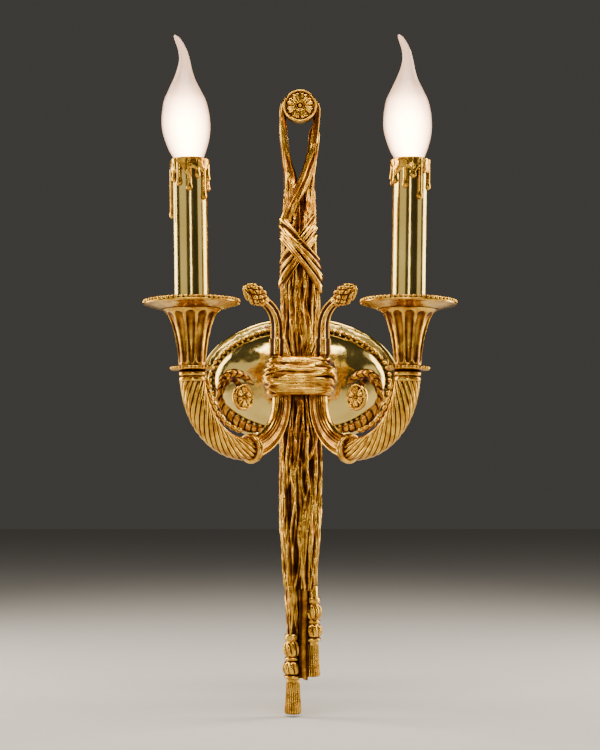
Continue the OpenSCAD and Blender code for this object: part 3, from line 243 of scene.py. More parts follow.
FINISHES = {
    "antique_brass": ("antique_gilt_brass", antique_gilt_brass),
    "polished_brass": ("polished_brass", polished_brass),
    "plain_brass": ("turned_brass", turned_brass),
    "zinc_steel": ("zinc_plated_steel", zinc_plated_steel),
    "white_plastic": ("moulded_polyamide", moulded_plastic, "#DAD7CC", "#E6E3D9", 0.5),
    "black_plastic": ("moulded_phenolic", moulded_plastic, "#17140F", "#26221C", 0.42),
    "cable_sleeve": ("soft_cable_sleeve", moulded_plastic, "#CFCBBD", "#DDD9CC", 0.6),
    "frosted_glass": ("frosted_bulb_glass", frosted_bulb_glass),
    "nickel_cap": ("nickel_plate", nickel_plate),
    "lit_filament": ("lit_filament", lit_filament),
}
MATERIALS = {slot: make_material(*finish) for slot, finish in FINISHES.items()}
SLOT_OF = {s["node"]: s["material_slot"] for s in frame["record"]["subparts"]}


# Skins: rings of points become closed meshes
def skin(rings, groove=None, ends=True, loop=False):
    """A skin over rings of points (rings, points, 3), closed round each ring."""
    rings = np.asarray(rings, float)
    m, n, _ = rings.shape
    index = np.arange(m * n).reshape(m, n)
    low = index if loop else index[:-1]
    high = np.roll(index, -1, 0) if loop else index[1:]
    quads = np.stack([low, np.roll(low, -1, 1), np.roll(high, -1, 1), high], -1).reshape(-1, 4)
    verts = rings.reshape(-1, 3)
    dark = np.zeros(m * n) if groove is None else np.broadcast_to(groove, (m, n)).reshape(-1)
    faces = [tuple(q) for q in quads.tolist()]
    if ends and not loop:
        for ring, order in ((0, -1), (m - 1, 1)):
            centre = len(verts)
            verts = np.vstack([verts, rings[ring].mean(0)])
            dark = np.append(dark, dark[ring * n])
            row = index[ring][::order].tolist()
            faces += [(row[i], row[(i + 1) % n], centre) for i in range(n)]
    return verts, faces, dark


def volume(verts, faces):
    tris = np.array([(f[0], f[k], f[k + 1]) for f in faces for k in range(1, len(f) - 1)])
    a, b, c = verts[tris[:, 0]], verts[tris[:, 1]], verts[tris[:, 2]]
    return float(np.einsum("ij,ij->i", a, np.cross(b, c)).sum() / 6)


def mesh_object(name, skins, attribute="groove"):
    """One mesh object, in metres, from several closed skins in millimetres."""
    verts, faces, dark, base = [], [], [], 0
    for v, f, d in skins:
        if volume(v, f) < 0:
            f = [t[::-1] for t in f]
        verts.append(v)
        dark.append(d)
        faces += [tuple(i + base for i in t) for t in f]
        base += len(v)
    mesh = bpy.data.meshes.new(name)
    mesh.from_pydata((np.vstack(verts) * MM).tolist(), [], faces)
    layer = mesh.attributes.new(attribute, "FLOAT", "POINT")
    layer.data.foreach_set("value", np.concatenate(dark).astype(np.float32))
    mesh.shade_smooth()
    mesh.update()
    return placed(name, mesh)


def dress(made, nodes, body="sconce", sharp=None):
    """Gives a piece its material and body, and hides the solids it stands for."""
    slot = SLOT_OF[nodes[0]]
    made.data.materials.clear()
    made.data.materials.append(MATERIALS[slot])
    if sharp:
        made.data.set_sharp_from_angle(angle=math.radians(sharp))
    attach(made, body)
    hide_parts(*nodes)


def cast(name, skins, node, sharp, body="sconce", attribute="groove"):
    """A piece made of skins, in the place of one node."""
    dress(mesh_object(name, skins, attribute), [node], body, sharp)


def smoothstep(x, low=0.0, high=1.0):
    t = np.clip((np.asarray(x, float) - low) / (high - low), 0, 1)
    return t * t * (3 - 2 * t)


def full_turn(count):
    """Angles of a full turn, as a row."""
    return np.linspace(0, 2 * math.pi, count, endpoint=False)[None, :]


def section(wide, thick, t):
    """Offsets of a ring's points from its line: outward in the arm's plane, and sideways."""
    return np.stack([wide * np.cos(t), thick * np.sin(t)], -1)


def heading(line):
    """Directions along a line in a plane, in degrees."""
    step = np.gradient(line, axis=0)
    return np.degrees(np.arctan2(step[:, 1], step[:, 0]))


def distance(line):
    """Lengths along a line in a plane, as a column."""
    return np.r_[0, np.cumsum(np.linalg.norm(np.diff(line, axis=0), axis=1))][:, None]


def points(*axes):
    """Points from their coordinates, spread over each other."""
    return np.stack(np.broadcast_arrays(*axes), -1)


def arm_space(side, p):
    """Arm plane (out from the stem, across, up) to the sconce's own frame."""
    p = np.asarray(p, float)
    u, w, z = p[..., 0], p[..., 1], p[..., 2]
    c, s = math.cos(ARM_ANGLE), math.sin(ARM_ANGLE)
    return points(side * (u * c + w * s), w * c - u * s - STEM_Y, z)


def candle_space(side, p):
    """The candle's own axis, with its foot at the arm's end, to the sconce's frame."""
    p = np.asarray(p, float)
    x, y, z = p[..., 0], p[..., 1], p[..., 2]
    c, s = math.cos(LEAN), math.sin(LEAN)
    out = points(CANDLE_U + x * c + z * s, y, CANDLE_Z - x * s + z * c)
    return arm_space(side, out)


def rounded(profile, times=2):
    """Cuts the corners of an open profile, so that cast edges are soft."""
    p = np.asarray(profile, float)
    for _ in range(times):
        a, b = p[:-1], p[1:]
        cut = np.stack([0.75 * a + 0.25 * b, 0.25 * a + 0.75 * b], 1).reshape(-1, 2)
        p = np.vstack([p[:1], cut[1:-1], p[-1:]])
    return p


def lathe(profile, count=96):
    """Rings of a turned form from (radius, height)."""
    t = full_turn(count)[0]
    p = np.asarray(profile, float)
    r, z = p[:, :1], p[:, 1:]
    return points(r * np.cos(t), r * np.sin(t), z)


def folds(across, along, count, seed, wander, span, lean=0.0, width=0.5, ridge=0.75):
    """Gathered cloth: folds side by side that wander, swell and die away.

    across runs from 0 to 1 over the folds and wraps, along is in millimetres.
    Returns 1 on a crest and 0 in a valley."""
    rng = np.random.default_rng(seed)
    crest = np.zeros(np.broadcast(across, along).shape)
    for k in range(count):
        phase = rng.uniform(0, 2 * math.pi, 4)
        centre = (k + rng.uniform(-0.3, 0.3)) / count + lean * along / span
        centre = centre + wander / count * (
            np.sin(along / span * 2 * math.pi + phase[0])
            + 0.5 * np.sin(along / span * 5.3 * math.pi + phase[1]))
        half = (width + 0.2 * np.sin(along / span * 2.6 * math.pi + phase[2])) / count
        high = 0.75 + 0.25 * np.sin(along / span * 3.7 * math.pi + phase[3])
        off = np.abs((across - centre + 0.5) % 1 - 0.5) / half
        crest = np.maximum(crest, high * np.clip(1 - off * off, 0, 1) ** ridge)
    return crest


# Geometry Nodes: beads along a ring or an arc, and strands laid round an arm
def group(name, sockets):
    tree = bpy.data.node_groups.new(name, "GeometryNodeTree")
    tree.interface.new_socket("Geometry", in_out="INPUT", socket_type="NodeSocketGeometry")
    for label, kind, value in sockets:
        socket = tree.interface.new_socket(label, in_out="INPUT", socket_type=kind)
        if value is not None:
            socket.default_value = value
    tree.interface.new_socket("Geometry", in_out="OUTPUT", socket_type="NodeSocketGeometry")
    return tree, add(tree, "NodeGroupInput"), add(tree, "NodeGroupOutput")


def complete(tree, shape, given, out):
    real = add(tree, "GeometryNodeRealizeInstances", {"Geometry": shape})
    coated = add(tree, "GeometryNodeSetMaterial", {
        "Geometry": real, "Material": given.outputs["Finish"]})
    tree.links.new(coated.outputs[0], out.inputs[0])
    return tree


def bead_tree():
    tree, given, out = group("bead_row", [
        ("Bead count", "NodeSocketInt", 40), ("Bead length", "NodeSocketFloat", 0.004),
        ("Bead width", "NodeSocketFloat", 0.004), ("Slant", "NodeSocketFloat", 0.0),
        ("Finish", "NodeSocketMaterial", None)])
    spaced = add(tree, "GeometryNodeResampleCurve", {
        "Curve": given.outputs["Geometry"], "Count": given.outputs["Bead count"]})
    ball = add(tree, "GeometryNodeMeshUVSphere", {"Segments": 16, "Rings": 10, "Radius": 0.5})
    smooth = add(tree, "GeometryNodeSetShadeSmooth", {"Geometry": ball})
    tangent = add(tree, "GeometryNodeInputTangent")
    along = add(tree, "FunctionNodeAlignRotationToVector", {"Vector": tangent}, axis="X")
    turn = add(tree, "ShaderNodeCombineXYZ", {"Z": given.outputs["Slant"]})
    slant = add(tree, "FunctionNodeEulerToRotation", {0: turn})
    turned = add(tree, "FunctionNodeRotateRotation", {
        "Rotation": along, "Rotate By": slant}, rotation_space="LOCAL")
    size = add(tree, "ShaderNodeCombineXYZ", {
        "X": given.outputs["Bead length"], "Y": given.outputs["Bead width"],
        "Z": given.outputs["Bead width"]})
    set_out = add(tree, "GeometryNodeInstanceOnPoints", {
        "Points": spaced, "Instance": smooth, "Rotation": turned, "Scale": size})
    return complete(tree, set_out, given, out)


def rope_tree():
    """Strands laid round a centreline: each copy of the line is moved out and turned."""
    tree, given, out = group("rope_twist", [
        ("Strands", "NodeSocketInt", 10), ("Lay", "NodeSocketFloat", 0.06),
        ("Core radius", "NodeSocketFloat", 0.007), ("Strand radius", "NodeSocketFloat", 0.002),
        ("Hand", "NodeSocketFloat", 1.0), ("Finish", "NodeSocketMaterial", None)])
    fine = add(tree, "GeometryNodeResampleCurve", {"Curve": given.outputs["Geometry"], "Count": 90})
    copies = add(tree, "GeometryNodeDuplicateElements", {
        "Geometry": fine, "Amount": given.outputs["Strands"]}, domain="SPLINE")
    length = add(tree, "GeometryNodeSplineParameter").outputs["Length"]
    turns = add(tree, "ShaderNodeMath", {0: length, 1: given.outputs["Lay"]}, operation="DIVIDE")
    share = add(tree, "ShaderNodeMath", {
        0: copies.outputs["Duplicate Index"], 1: given.outputs["Strands"]}, operation="DIVIDE")
    both = add(tree, "ShaderNodeMath", {0: turns, 1: share}, operation="ADD")
    full = add(tree, "ShaderNodeMath", {0: both, 1: 2 * math.pi}, operation="MULTIPLY")
    angle = add(tree, "ShaderNodeMath", {0: full, 1: given.outputs["Hand"]}, operation="MULTIPLY")
    swell = add(tree, "GeometryNodeInputRadius")
    normal = add(tree, "GeometryNodeInputNormal")
    tangent = add(tree, "GeometryNodeInputTangent")
    side = add(tree, "ShaderNodeVectorMath", {0: tangent, 1: normal}, operation="CROSS_PRODUCT")
    cosine = add(tree, "ShaderNodeMath", {0: angle}, operation="COSINE")
    sine = add(tree, "ShaderNodeMath", {0: angle}, operation="SINE")
    a = add(tree, "ShaderNodeVectorMath", {0: normal, "Scale": cosine}, operation="SCALE")
    b = add(tree, "ShaderNodeVectorMath", {0: side, "Scale": sine}, operation="SCALE")
    way = add(tree, "ShaderNodeVectorMath", {0: a, 1: b}, operation="ADD")
    reach = add(tree, "ShaderNodeMath", {
        0: given.outputs["Core radius"], 1: swell}, operation="MULTIPLY")
    offset = add(tree, "ShaderNodeVectorMath", {0: way, "Scale": reach}, operation="SCALE")
    laid = add(tree, "GeometryNodeSetPosition", {"Geometry": copies, "Offset": offset})
    profile = add(tree, "GeometryNodeCurvePrimitiveCircle", {
        "Resolution": 12, "Radius": given.outputs["Strand radius"]})
    tube = add(tree, "GeometryNodeCurveToMesh", {
        "Curve": laid, "Profile Curve": profile, "Fill Caps": True})
    smooth = add(tree, "GeometryNodeSetShadeSmooth", {"Geometry": tube})
    return complete(tree, smooth, given, out)


BEADS = bead_tree()
ROPE = rope_tree()


def grown(name, path, tree, values, closed=False, swell=None):
    """What a node tree makes of a line through points in millimetres, as a plain mesh."""
    curve = bpy.data.curves.new(name + "_line", "CURVE")
    curve.dimensions = "3D"
    curve.twist_mode = "MINIMUM"
    line = curve.splines.new("POLY")
    line.points.add(len(path) - 1)
    for i, p in enumerate(path):
        line.points[i].co = (*[float(v) * MM for v in p], 1.0)
        line.points[i].radius = 1.0 if swell is None else float(swell[i])
    line.use_cyclic_u = closed
    source = placed(name + "_line", curve)
    modifier = source.modifiers.new("nodes", "NODES")
    modifier.node_group = tree
    ids = {item.name: item.identifier for item in tree.interface.items_tree
           if item.in_out == "INPUT"}
    for label, value in values.items():
        modifier[ids[label]] = value
    modifier[ids["Finish"]] = MATERIALS["antique_brass"]
    view = bpy.context.evaluated_depsgraph_get()
    mesh = bpy.data.meshes.new_from_object(source.evaluated_get(view), depsgraph=view)
    mesh.name = name
    bpy.data.objects.remove(source)
    return placed(name, mesh)


def trim(made):
    """A cast piece that stands on another one: it rides, but hides no solid."""
    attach(made, "sconce")


def bead_row(name, line, count, length, width, slant=0.0, closed=True):
    """Cast beads in a row, their length and width in millimetres."""
    trim(grown(name, line, BEADS, {
        "Bead count": count, "Bead length": length * MM, "Bead width": width * MM,
        "Slant": slant}, closed))


# Wall plate: a spun dome with a flared rim, open at the back, and a row of beads
RIM = [(0, 0), (0, 1.6), (0.6, 2.8), (2.6, 3.6), (5, 3.3), (6.6, 3.0), (8.6, 3.0), (11, 3.4)]
DOME_FOOT, DOME_STEPS, BORE_R, LIP = 3.2, 26, 3.0, 4.0
BEAD_INSET, BEAD_D, BEAD_AT = 8.6, 4.4, 3.8
DENTS = 0.45


def oval_rings(profile, count=160):
    """Rings from (half width, half height, distance from the wall)."""
    t = full_turn(count)[0]
    return np.array([points(a * np.cos(t), -depth, b * np.sin(t)) for a, b, depth in profile])


def make_backplate():
    under = PLATE_SEAT - PLATE_WALL
    front = [(PLATE_A - inset, PLATE_B - inset, depth) for inset, depth in rounded(RIM)]
    back = []
    for k in range(1, DOME_STEPS):
        turn = math.radians(90 * k / DOME_STEPS)
        share, rise = math.cos(turn), math.sin(turn)
        front.append((DOME_A * share, DOME_B * share,
                      min(DOME_FOOT + (PLATE_DEPTH - DOME_FOOT) * rise, PLATE_SEAT)))
        back.append(((DOME_A - PLATE_WALL) * share, (DOME_B - PLATE_WALL) * share,
                     min((PLATE_DEPTH - PLATE_WALL) * rise, under)))
    bore = [(BORE_R, BORE_R, PLATE_SEAT), (BORE_R, BORE_R, under)]
    foot = [(DOME_A + LIP, DOME_B + LIP, 1.2), (PLATE_A - LIP, PLATE_B - LIP, 1.2),
            (PLATE_A - 3.6, PLATE_B - 3.6, 0.0)]
    plate = oval_rings(front + bore + back[::-1] + foot)
    cast("wall_plate", [skin(plate, DENTS, loop=True)], "backplate", 50, attribute="dents")
    line = oval_rings([(PLATE_A - BEAD_INSET, PLATE_B - BEAD_INSET, BEAD_AT)], 400)[0]
    bead_row("wall_plate_beads", line, 72, BEAD_D, BEAD_D)


def make_spacer():
    front = BLOCK_Y - BLOCK_B
    length = front - PLATE_SEAT
    r = SPACER_R
    rings = lathe(rounded([
        (0.5, 0), (r, 0), (r, 0.2 * length), (r - 2.4, 0.34 * length), (r - 3, 0.5 * length),
        (r - 2.4, 0.66 * length), (r, 0.8 * length), (r, length), (0.5, length)]))
    rings = points(rings[..., 0], rings[..., 2] - front, -rings[..., 1])
    cast("turned_spacer", [skin(rings)], "hub_spacer", 40)


# Waist band: cloth wrapped level round the block, its creases crossing at a slant
def superoval(t, a, b, power):
    c, s = np.cos(t), np.sin(t)
    return a * np.sign(c) * np.abs(c) ** (2 / power), b * np.sign(s) * np.abs(s) ** (2 / power)


def make_waist_band():
    cols, rows, girth = 480, 120, 200.0
    t = full_turn(cols)
    v = np.linspace(0, 1, rows)[:, None]
    across, along = v * 0.999, t / (2 * math.pi) * girth
    level = folds(across, along, 8, 6, 0.9, girth, 0.0, 0.75)
    down = folds(across, along, 5, 9, 0.5, girth, 1.2, 0.5)
    up = folds(across, along, 4, 18, 0.5, girth, -1.2, 0.42)
    fine = folds(across, along, 17, 21, 0.9, girth, -0.5)
    crest = np.maximum(np.maximum(level * 0.9, down), 0.92 * up) * 0.82 + 0.18 * fine

    # The cloth bulges between its two hems, which are rolled in
    edge = np.minimum(v, 1 - v)
    belly = 5.6 * np.sin(math.pi * (0.071 + 0.911 * v)) ** 0.8
    hem = smoothstep(edge / 0.09)
    lift = 1.2 + belly + hem * 3.0 * (crest - 0.75) + (1 - hem) * 0.3
    roll = np.sqrt(np.clip(1 - (1 - edge / 0.05) ** 2, 0, 1))
    lift = np.where(edge < 0.05, 0.4 + (lift - 0.4) * roll, lift)
    x, y = superoval(t, 1, 1, 4.5)
    z = (v - 0.5) * BAND_H + BAND_Z + 0.8 * np.sin(t * 2 + 0.6) * (v - 0.5)
    outer = points(x * (BLOCK_A + lift), y * (BLOCK_B + lift) - BLOCK_Y, z)

    x, y = superoval(t, BLOCK_A + 0.2, BLOCK_B + 0.2, 4)
    down_again = v[::-10]
    inner = points(x, y - BLOCK_Y, (down_again - 0.5) * (BAND_H - 1) + BAND_Z)
    dark = np.concatenate([0.75 * smoothstep((0.8 - crest) / 0.6) * hem,
                           np.zeros((len(inner), cols))])
    cast("wrapped_band", [skin(np.concatenate([outer, inner]), dark, loop=True)], "waist_band", 70)


# Stem: gathered cloth with upright folds; the ribbons that cross on it
def table(z, rows):
    """Values between rows of (height, value), in any order."""
    rows = sorted(rows)
    return np.interp(z, [r[0] for r in rows], [r[1] for r in rows])


# Half widths, front depths and sideways shift of the stem by height; the tassels' size
UPPER = [(10.5, 9.55), (19.4, 12.5), (29.1, 15.1), (39.8, 15.4), (57.2, 15.55), (77.6, 15.4),
         (97, 13.4), (116.4, 12.9), (136.5, 12.3), (150, 12.6)]
UPPER_FRONT = [(10.5, 8.6), (37.8, 13), (79.5, 12.6), (135, 8.2), (150, 6.3)]
UPPER_CENTRE = [(38.8, 0.4), (77.6, -0.2), (97, -0.8), (150, -0.4)]
LOWER = [(-165, 12.5), (-153, 13), (-126, 14.9), (-100, 16), (-65, 16.6), (-50, 16.2),
         (-35, 13.2), (-22, 10), (-15.5, 9)]
LOWER_CENTRE = 0.3
TASSEL_R, TASSEL_H, LONG_X, SHORT_X = 6.6, 60.0, -5.3, 9.0


def upper_back(half):
    return np.maximum(0.55 * half, 7)


def gathered(z, half, front, back, centre, seed, counts, depth, cols=300):
    """A bundle of cloth: long, nearly straight crests with finer creases between."""
    t = full_turn(cols)
    z = z[:, None]
    across = t / (2 * math.pi)
    main = folds(across, z, counts[0], seed, 0.7, 190.0, 0.0, 0.58)
    over = folds(across, z, counts[1], seed + 3, 0.7, 160.0, 0.04, 0.3)
    fine = folds(across, z, counts[2], seed + 5, 1.2, 110.0)
    crest = 0.66 * np.maximum(0.9 * main, over) + 0.34 * fine
    fade = 1 - smoothstep((z - STEM_TOP + 14) / 12)
    lift = depth * (crest - 0.68) * fade - 0.5 * (1 - fade)
    deep = np.where(np.sin(t) < 0, front, back)
    x = centre + (half + lift) * np.cos(t)
    y = -STEM_Y + (deep + lift) * np.sin(t)
    dark = 0.8 * smoothstep((0.7 - crest) / 0.45)
    return points(x, y, z), dark


def make_stem_upper():
    z = np.linspace(BLOCK_TOP, STEM_TOP, 220)
    shoulder = 1 - 0.16 * smoothstep((z - STEM_TOP + 5) / 5)
    half = (table(z, UPPER) * shoulder)[:, None]
    front = (table(z, UPPER_FRONT) * shoulder)[:, None]
    centre = table(z, UPPER_CENTRE)[:, None]
    rings, dark = gathered(z, half, front, upper_back(half), centre, 11, (31, 9, 58), 2.9)
    # Painted shade: the stem's top end, in the V under the loop's strands, is coloured fully dark
    dark[-1] = 1.0
    cast("gathered_stem", [skin(rings, dark), ribbon_wrap(19, 1.4, 4), ribbon_wrap(-19, 3.0, 8)],
         "stem_upper", 75)


def ribbon_wrap(slant, thick, seed):
    """A wide creased ribbon wound round the stem on a slant."""
    p = np.linspace(-math.pi, math.pi, 240, endpoint=False)[:, None]
    s = np.linspace(-1, 1, 60)[None, :]
    centre = WRAP_Z + slant * np.sin(p)
    half = 11.6 + 3.4 * smoothstep((WRAP_Z - centre) / 19)
    girth = 150
    crest = folds((s + 1) / 2 * 0.999, p / (2 * math.pi) * girth, 6, seed, 0.4, girth,
                  0.15, 0.55, 0.8)
    body = np.clip(1 - np.abs(s) ** 5, 0, 1) ** 0.5
    lift = thick * body + 2.0 * (crest - 0.7) * body
    under = np.broadcast_to(np.linspace(1, -1, 6)[None, :], (len(p), 6))
    lift = np.concatenate([lift, np.full(under.shape, -1.6)], 1)
    z = centre + np.concatenate([s + 0 * p, under], 1) * half
    wide = table(z, UPPER)
    deep = np.where(np.cos(p) > 0, table(z, UPPER_FRONT), upper_back(wide))
    x = table(z, UPPER_CENTRE) + (wide + lift) * np.sin(p)
    y = -STEM_Y - (deep + lift) * np.cos(p)
    dark = np.concatenate([0.8 * smoothstep((0.65 - crest) / 0.5) * body, np.zeros(under.shape)], 1)
    return skin(points(x, y, z), dark, loop=True)


def make_stem_lower():
    """The long cloth, and its left end that goes on to the long tassel."""
    z = np.linspace(-SPLIT_Z, -BLOCK_FOOT, 260)
    soft_foot = 1 - 0.1 * smoothstep((6 - SPLIT_Z - z) / 6) ** 2
    half = (table(z, LOWER) * soft_foot)[:, None]
    rings, dark = gathered(z, half, 0.62 * half + 1.5, np.maximum(0.5 * half, 7), LOWER_CENTRE,
                           23, (30, 9, 60), 2.7)
    z = np.linspace(-TAIL_Z, 4 - SPLIT_Z, 90)
    wide = smoothstep((z + TAIL_Z) / (TAIL_Z - SPLIT_Z))[:, None]
    tail, tail_dark = gathered(z, 5.2 + 1.2 * wide, 6.2 + 1.3 * wide, 4.4, LONG_X,
                               37, (17, 3, 30), 1.7, 160)
    cast("hanging_cloth", [skin(rings, dark), skin(tail, tail_dark)], "stem_lower", 75)


def make_cloth_tail():
    """The cloth's free edge, a narrow creased strip in front of the gap between the tassels."""
    top, bottom = -163.6, -229.6
    z = np.linspace(0, 1, 80)[:, None]
    s = np.linspace(0, 1, 60)[None, :]
    under = smoothstep((z - 0.7) / 0.3)
    ripple = np.sin(s * 2.6 * math.pi + 0.7 * np.sin(z * 5))
    x = -0.4 + 6.3 * s - 0.6 * under * (1 - s)
    y = -64.6 - 0.6 * ripple - 0.5 * np.sin(math.pi * s) - 1.4 * under
    foot = bottom - 2.4 * s
    height = foot + (top - foot) * z
    face = points(x, y, height)
    back = points(1.7 + 0.8 * s[:, ::-1], -61.4, height[:, ::-1])
    back = back[:, ::12]
    dark = np.concatenate([0.3 + 0.6 * smoothstep(0.2 + 0.6 * ripple), np.zeros(back.shape[:2])], 1)
    cast("cloth_edge", [skin(np.concatenate([face, back], 1), dark)], "cloth_tail", 60)


# Tassels: ringed knots with gadroons, a flange and a fringed skirt
def make_tassel(name, node, x, top, neck):
    r, h = TASSEL_R, TASSEL_H
    rows = [(h + neck + 4, r - 2), (h + neck, r - 1.7), (h, r - 1.6), (h - 0.01, r - 0.6),
            (h - 1, r), (h - 3.3, r), (h - 5, r - 1.2), (h - 16.9, r - 1.1), (h - 17.8, r),
            (h - 19.1, r), (h - 20.1, r - 1.1), (h - 30.5, r - 1), (h - 31.2, r + 0.4),
            (h - 32.8, r + 0.4), (h - 33.5, r - 1.5), (16.2, r - 1.2), (3, r - 0.2),
            (1.2, r - 0.4), (0.3, r - 1.4), (0, r - 2.6)]
    for middle, half, inset, bulge in ((10.9, 5.3, 1, 1.8), (25.4, 4.6, 0.8, 2)):
        rows += [(h - middle - half * math.sin(t), r - inset + bulge * math.cos(t))
                 for t in map(math.radians, np.linspace(-75, 75, 13))]
    z = np.linspace(h + neck + 4, 0, 240)[:, None]
    t = full_turn(144)
    lobes = np.abs(np.sin(5 * t + 0.12 * z))
    upper_knot = smoothstep((np.minimum(h - 6 - z, z - (h - 16)) + 1) / 3)
    lower_knot = smoothstep((np.minimum(h - 21.4 - z, z - (h - 30)) + 1) / 3)
    knots = upper_knot + lower_knot
    fringe = np.abs(np.sin(11 * t + 0.5 * np.sin(z / 7) + 0.25 * np.sin(z / 2.3 + 3 * t)))
    skirt = smoothstep((h - 34.5 - z) / 2)
    rr = table(z, rows) + knots * (lobes ** 0.7 - 0.75) * 1.5 + skirt * (fringe ** 0.6 - 0.8)
    dark = np.clip(knots * smoothstep(0.55 - lobes) + skirt * smoothstep(0.5 - fringe), 0, 1)
    foot = top - h - neck
    rings = points(x + rr * np.cos(t), -STEM_Y + rr * np.sin(t), foot + z)
    cast(name, [skin(rings, dark)], node, 60)


# Loop: one flat cord that splits at the stem and goes over the drum behind the boss
def catmull(points, per):
    """A smooth curve through points, with the same number of steps between each two."""
    p = np.asarray(points, float)
    q = np.vstack([2 * p[0] - p[1], p, 2 * p[-1] - p[-2]])
    out = []
    for i in range(len(p) - 1):
        a, b, c, d = q[i:i + 4]
        for t in np.linspace(0, 1, per, endpoint=False):
            out.append(0.5 * (2 * b + (c - a) * t + (2 * a - 5 * b + 4 * c - d) * t * t
                              + (3 * b - a - 3 * c + d) * t ** 3))
    out.append(p[-1])
    return np.array(out)


def flat_sweep(route, middle, half, thick):
    """Rings along a route of (x, z, ...), half wide across it and thick before and behind."""
    step = np.gradient(route[:, :2], axis=0)
    step /= np.linalg.norm(step, axis=1, keepdims=True)
    return points(route[:, :1] + half * step[:, 1:2], middle + thick,
                  route[:, 1:2] - half * step[:, :1])


def cord_dark(crest):
    return 0.6 * smoothstep((0.7 - crest) / 0.5)


# The right strand from the loop to the stem's left side: x, z, y
CROSSING = [(11.8, 198, -53), (11.1, 188, -57.6), (10.3, 179, -60.8), (9.1, 171, -62.4),
            (6.8, 162, -63.6), (3, 151, -65), (-3.2, 138, -66.6), (-7.6, 128, -66.2),
            (-11, 119, -63), (-13, 113, -58)]


def crossing_strand():
    """The right half of the ribbon, laid over the left one where they join the stem."""
    route, length = catmull(CROSSING, 14), 80
    t = full_turn(64)
    along = np.linspace(0, length, len(route))[:, None]
    crest = folds(t / (2 * math.pi), along, 9, 17, 0.5, 120.0)
    end = smoothstep(np.minimum(along, length - along) / 8)
    half = (2.4 + 2.2 * end) * np.cos(t) * (1 - 0.14 * (1 - crest))
    thick = 2.6 * np.sin(t) * (1 - 0.3 * (1 - crest))
    return skin(flat_sweep(route, route[:, 2:3], half, thick), cord_dark(crest))


# One strand of the loop, from the stem up: reach, shift, z, half width, distance from the wall
STRAND = [(5.2, -0.6, 138, 6, 56.6), (6.7, -0.6, 150, 6, 58), (7.4, -0.6, 157, 5.3, 58),
          (9.1, -0.6, 165, 4.5, 58), (10.6, -0.6, 175, 3.7, 58), (11.8, -0.6, 185, 3.3, 57),
          (12.5, -0.5, BOSS_Z - 18, 3.1, 55.8), (13.1, -0.2, BOSS_Z - 9, 2.9, 54.3)]


def make_ribbon_loop():
    right, left = ([(side * reach + shift, z, half, y) for reach, shift, z, half, y in STRAND]
                   for side in (1, -1))
    arch = []
    for turn in np.arange(0, 181, 22.5):
        half = np.interp(abs(turn - 90), [0, 90], [1.7, 2.8])
        r, t = DRUM_R + half + 0.4, math.radians(turn)
        arch.append((r * math.cos(t), BOSS_Z + r * math.sin(t), half, LOOP_Y))
    route = catmull(right + arch + left[::-1], 10)
    t = full_turn(64)
    crest = folds(t / (2 * math.pi), distance(route[:, :2]), 13, 41, 0.7, 160.0)
    x, y = superoval(t, 1, 1, 2.6)
    pinch = 1 - 0.16 * (1 - crest)
    rings = flat_sweep(route, -route[:, 3:4], route[:, 2:3] * x * pinch, 6.0 * y * pinch)
    cast("ribbon_loop_cord", [skin(rings, cord_dark(crest)), crossing_strand()], "ribbon_loop", 75)


# Flowers: a low relief of petals on a round field, as heights over a disc
def flower_relief(radius, petals, height):
    """Rings of a closed low disc with two-lobed petals, a button and a ring, facing +z."""
    t = full_turn(224)
    q = np.linspace(1, 0.02, 80)[:, None]
    phi = ((t * petals / (2 * math.pi)) % 1) * 2 - 1
    tip = 0.97 - 0.07 * np.exp(-(phi / 0.25) ** 2) - 0.25 * np.abs(phi) ** 4
    run = np.clip((q - 0.3) / (tip - 0.3), 0, 1)
    flank = np.clip(1 - np.abs(phi) ** 6, 0, 1) ** 0.7
    petal = np.sqrt(np.clip(1 - (2 * run - 1) ** 6, 0, 1)) * flank
    vein = 0.3 * np.exp(-(phi / 0.2) ** 2) * run
    button = 1.4 * height * np.sqrt(np.clip(1 - (q / 0.17) ** 2, 0, 1))
    ring = 0.8 * height * np.sqrt(np.clip(1 - ((q - 0.26) / 0.05) ** 2, 0, 1))
    z = np.maximum(np.maximum(height * petal * (1 - vein), button), ring)
    dark = 0.55 * np.clip(0.9 - z / height * 2, 0, 1) * (q < 0.99)
    face = points(radius * q * np.cos(t), radius * q * np.sin(t), z)
    floor = points(radius * np.cos(t), radius * np.sin(t), -0.5)
    return np.concatenate([floor, face]), np.concatenate([0 * t, dark])


def make_boss():
    r = BOSS_R
    profile = rounded([
        (r - 2.2, 1.6), (r - 2, 0.9), (r - 1.6, 0.2), (r - 1, 0), (r - 0.3, 0.4), (r, 1.4),
        (r, 9.2), (r - 0.6, 10), (DRUM_R, 10), (DRUM_R, 22), (0.4, 22)])
    rings = lathe(np.vstack([[(0.4, 1.6)], profile]), 128)
    rings = points(rings[..., 0], rings[..., 2] - BOSS_FRONT, rings[..., 1] + BOSS_Z)
    cast("loop_boss", [skin(rings)], "hook_boss", 45)
    face, dark = flower_relief(r - 2.0, 8, 1.4)
    face = points(face[..., 0], -BOSS_FRONT + 1.5 - face[..., 2], face[..., 1] + BOSS_Z)
    cast("boss_flower", [skin(face, dark)], "boss_rosette", 60)


# Arms: channelled root, rope twist, double-ring collar, scroll and bud
def arc_path(centre, bend, start, stop, count):
    a = np.radians(np.linspace(start, stop, count))
    at = points(centre[0] + bend * np.cos(a), centre[1] + bend * np.sin(a))
    return at, np.degrees(a) + 90


def sweep(at, way, across, side):
    """Rings round a line in the arm's plane; across holds (outward, sideways) offsets."""
    h = np.radians(way)[:, None]
    u = at[:, :1] + across[..., 0] * np.sin(h)
    z = at[:, 1:2] - across[..., 0] * np.cos(h)
    return arm_space(side, points(u, across[..., 1], z))


def in_arm_plane(line, side):
    """A line of (outward, up) in the middle of the arm, in the sconce's frame."""
    return arm_space(side, points(line[:, 0], 0, line[:, 1]))


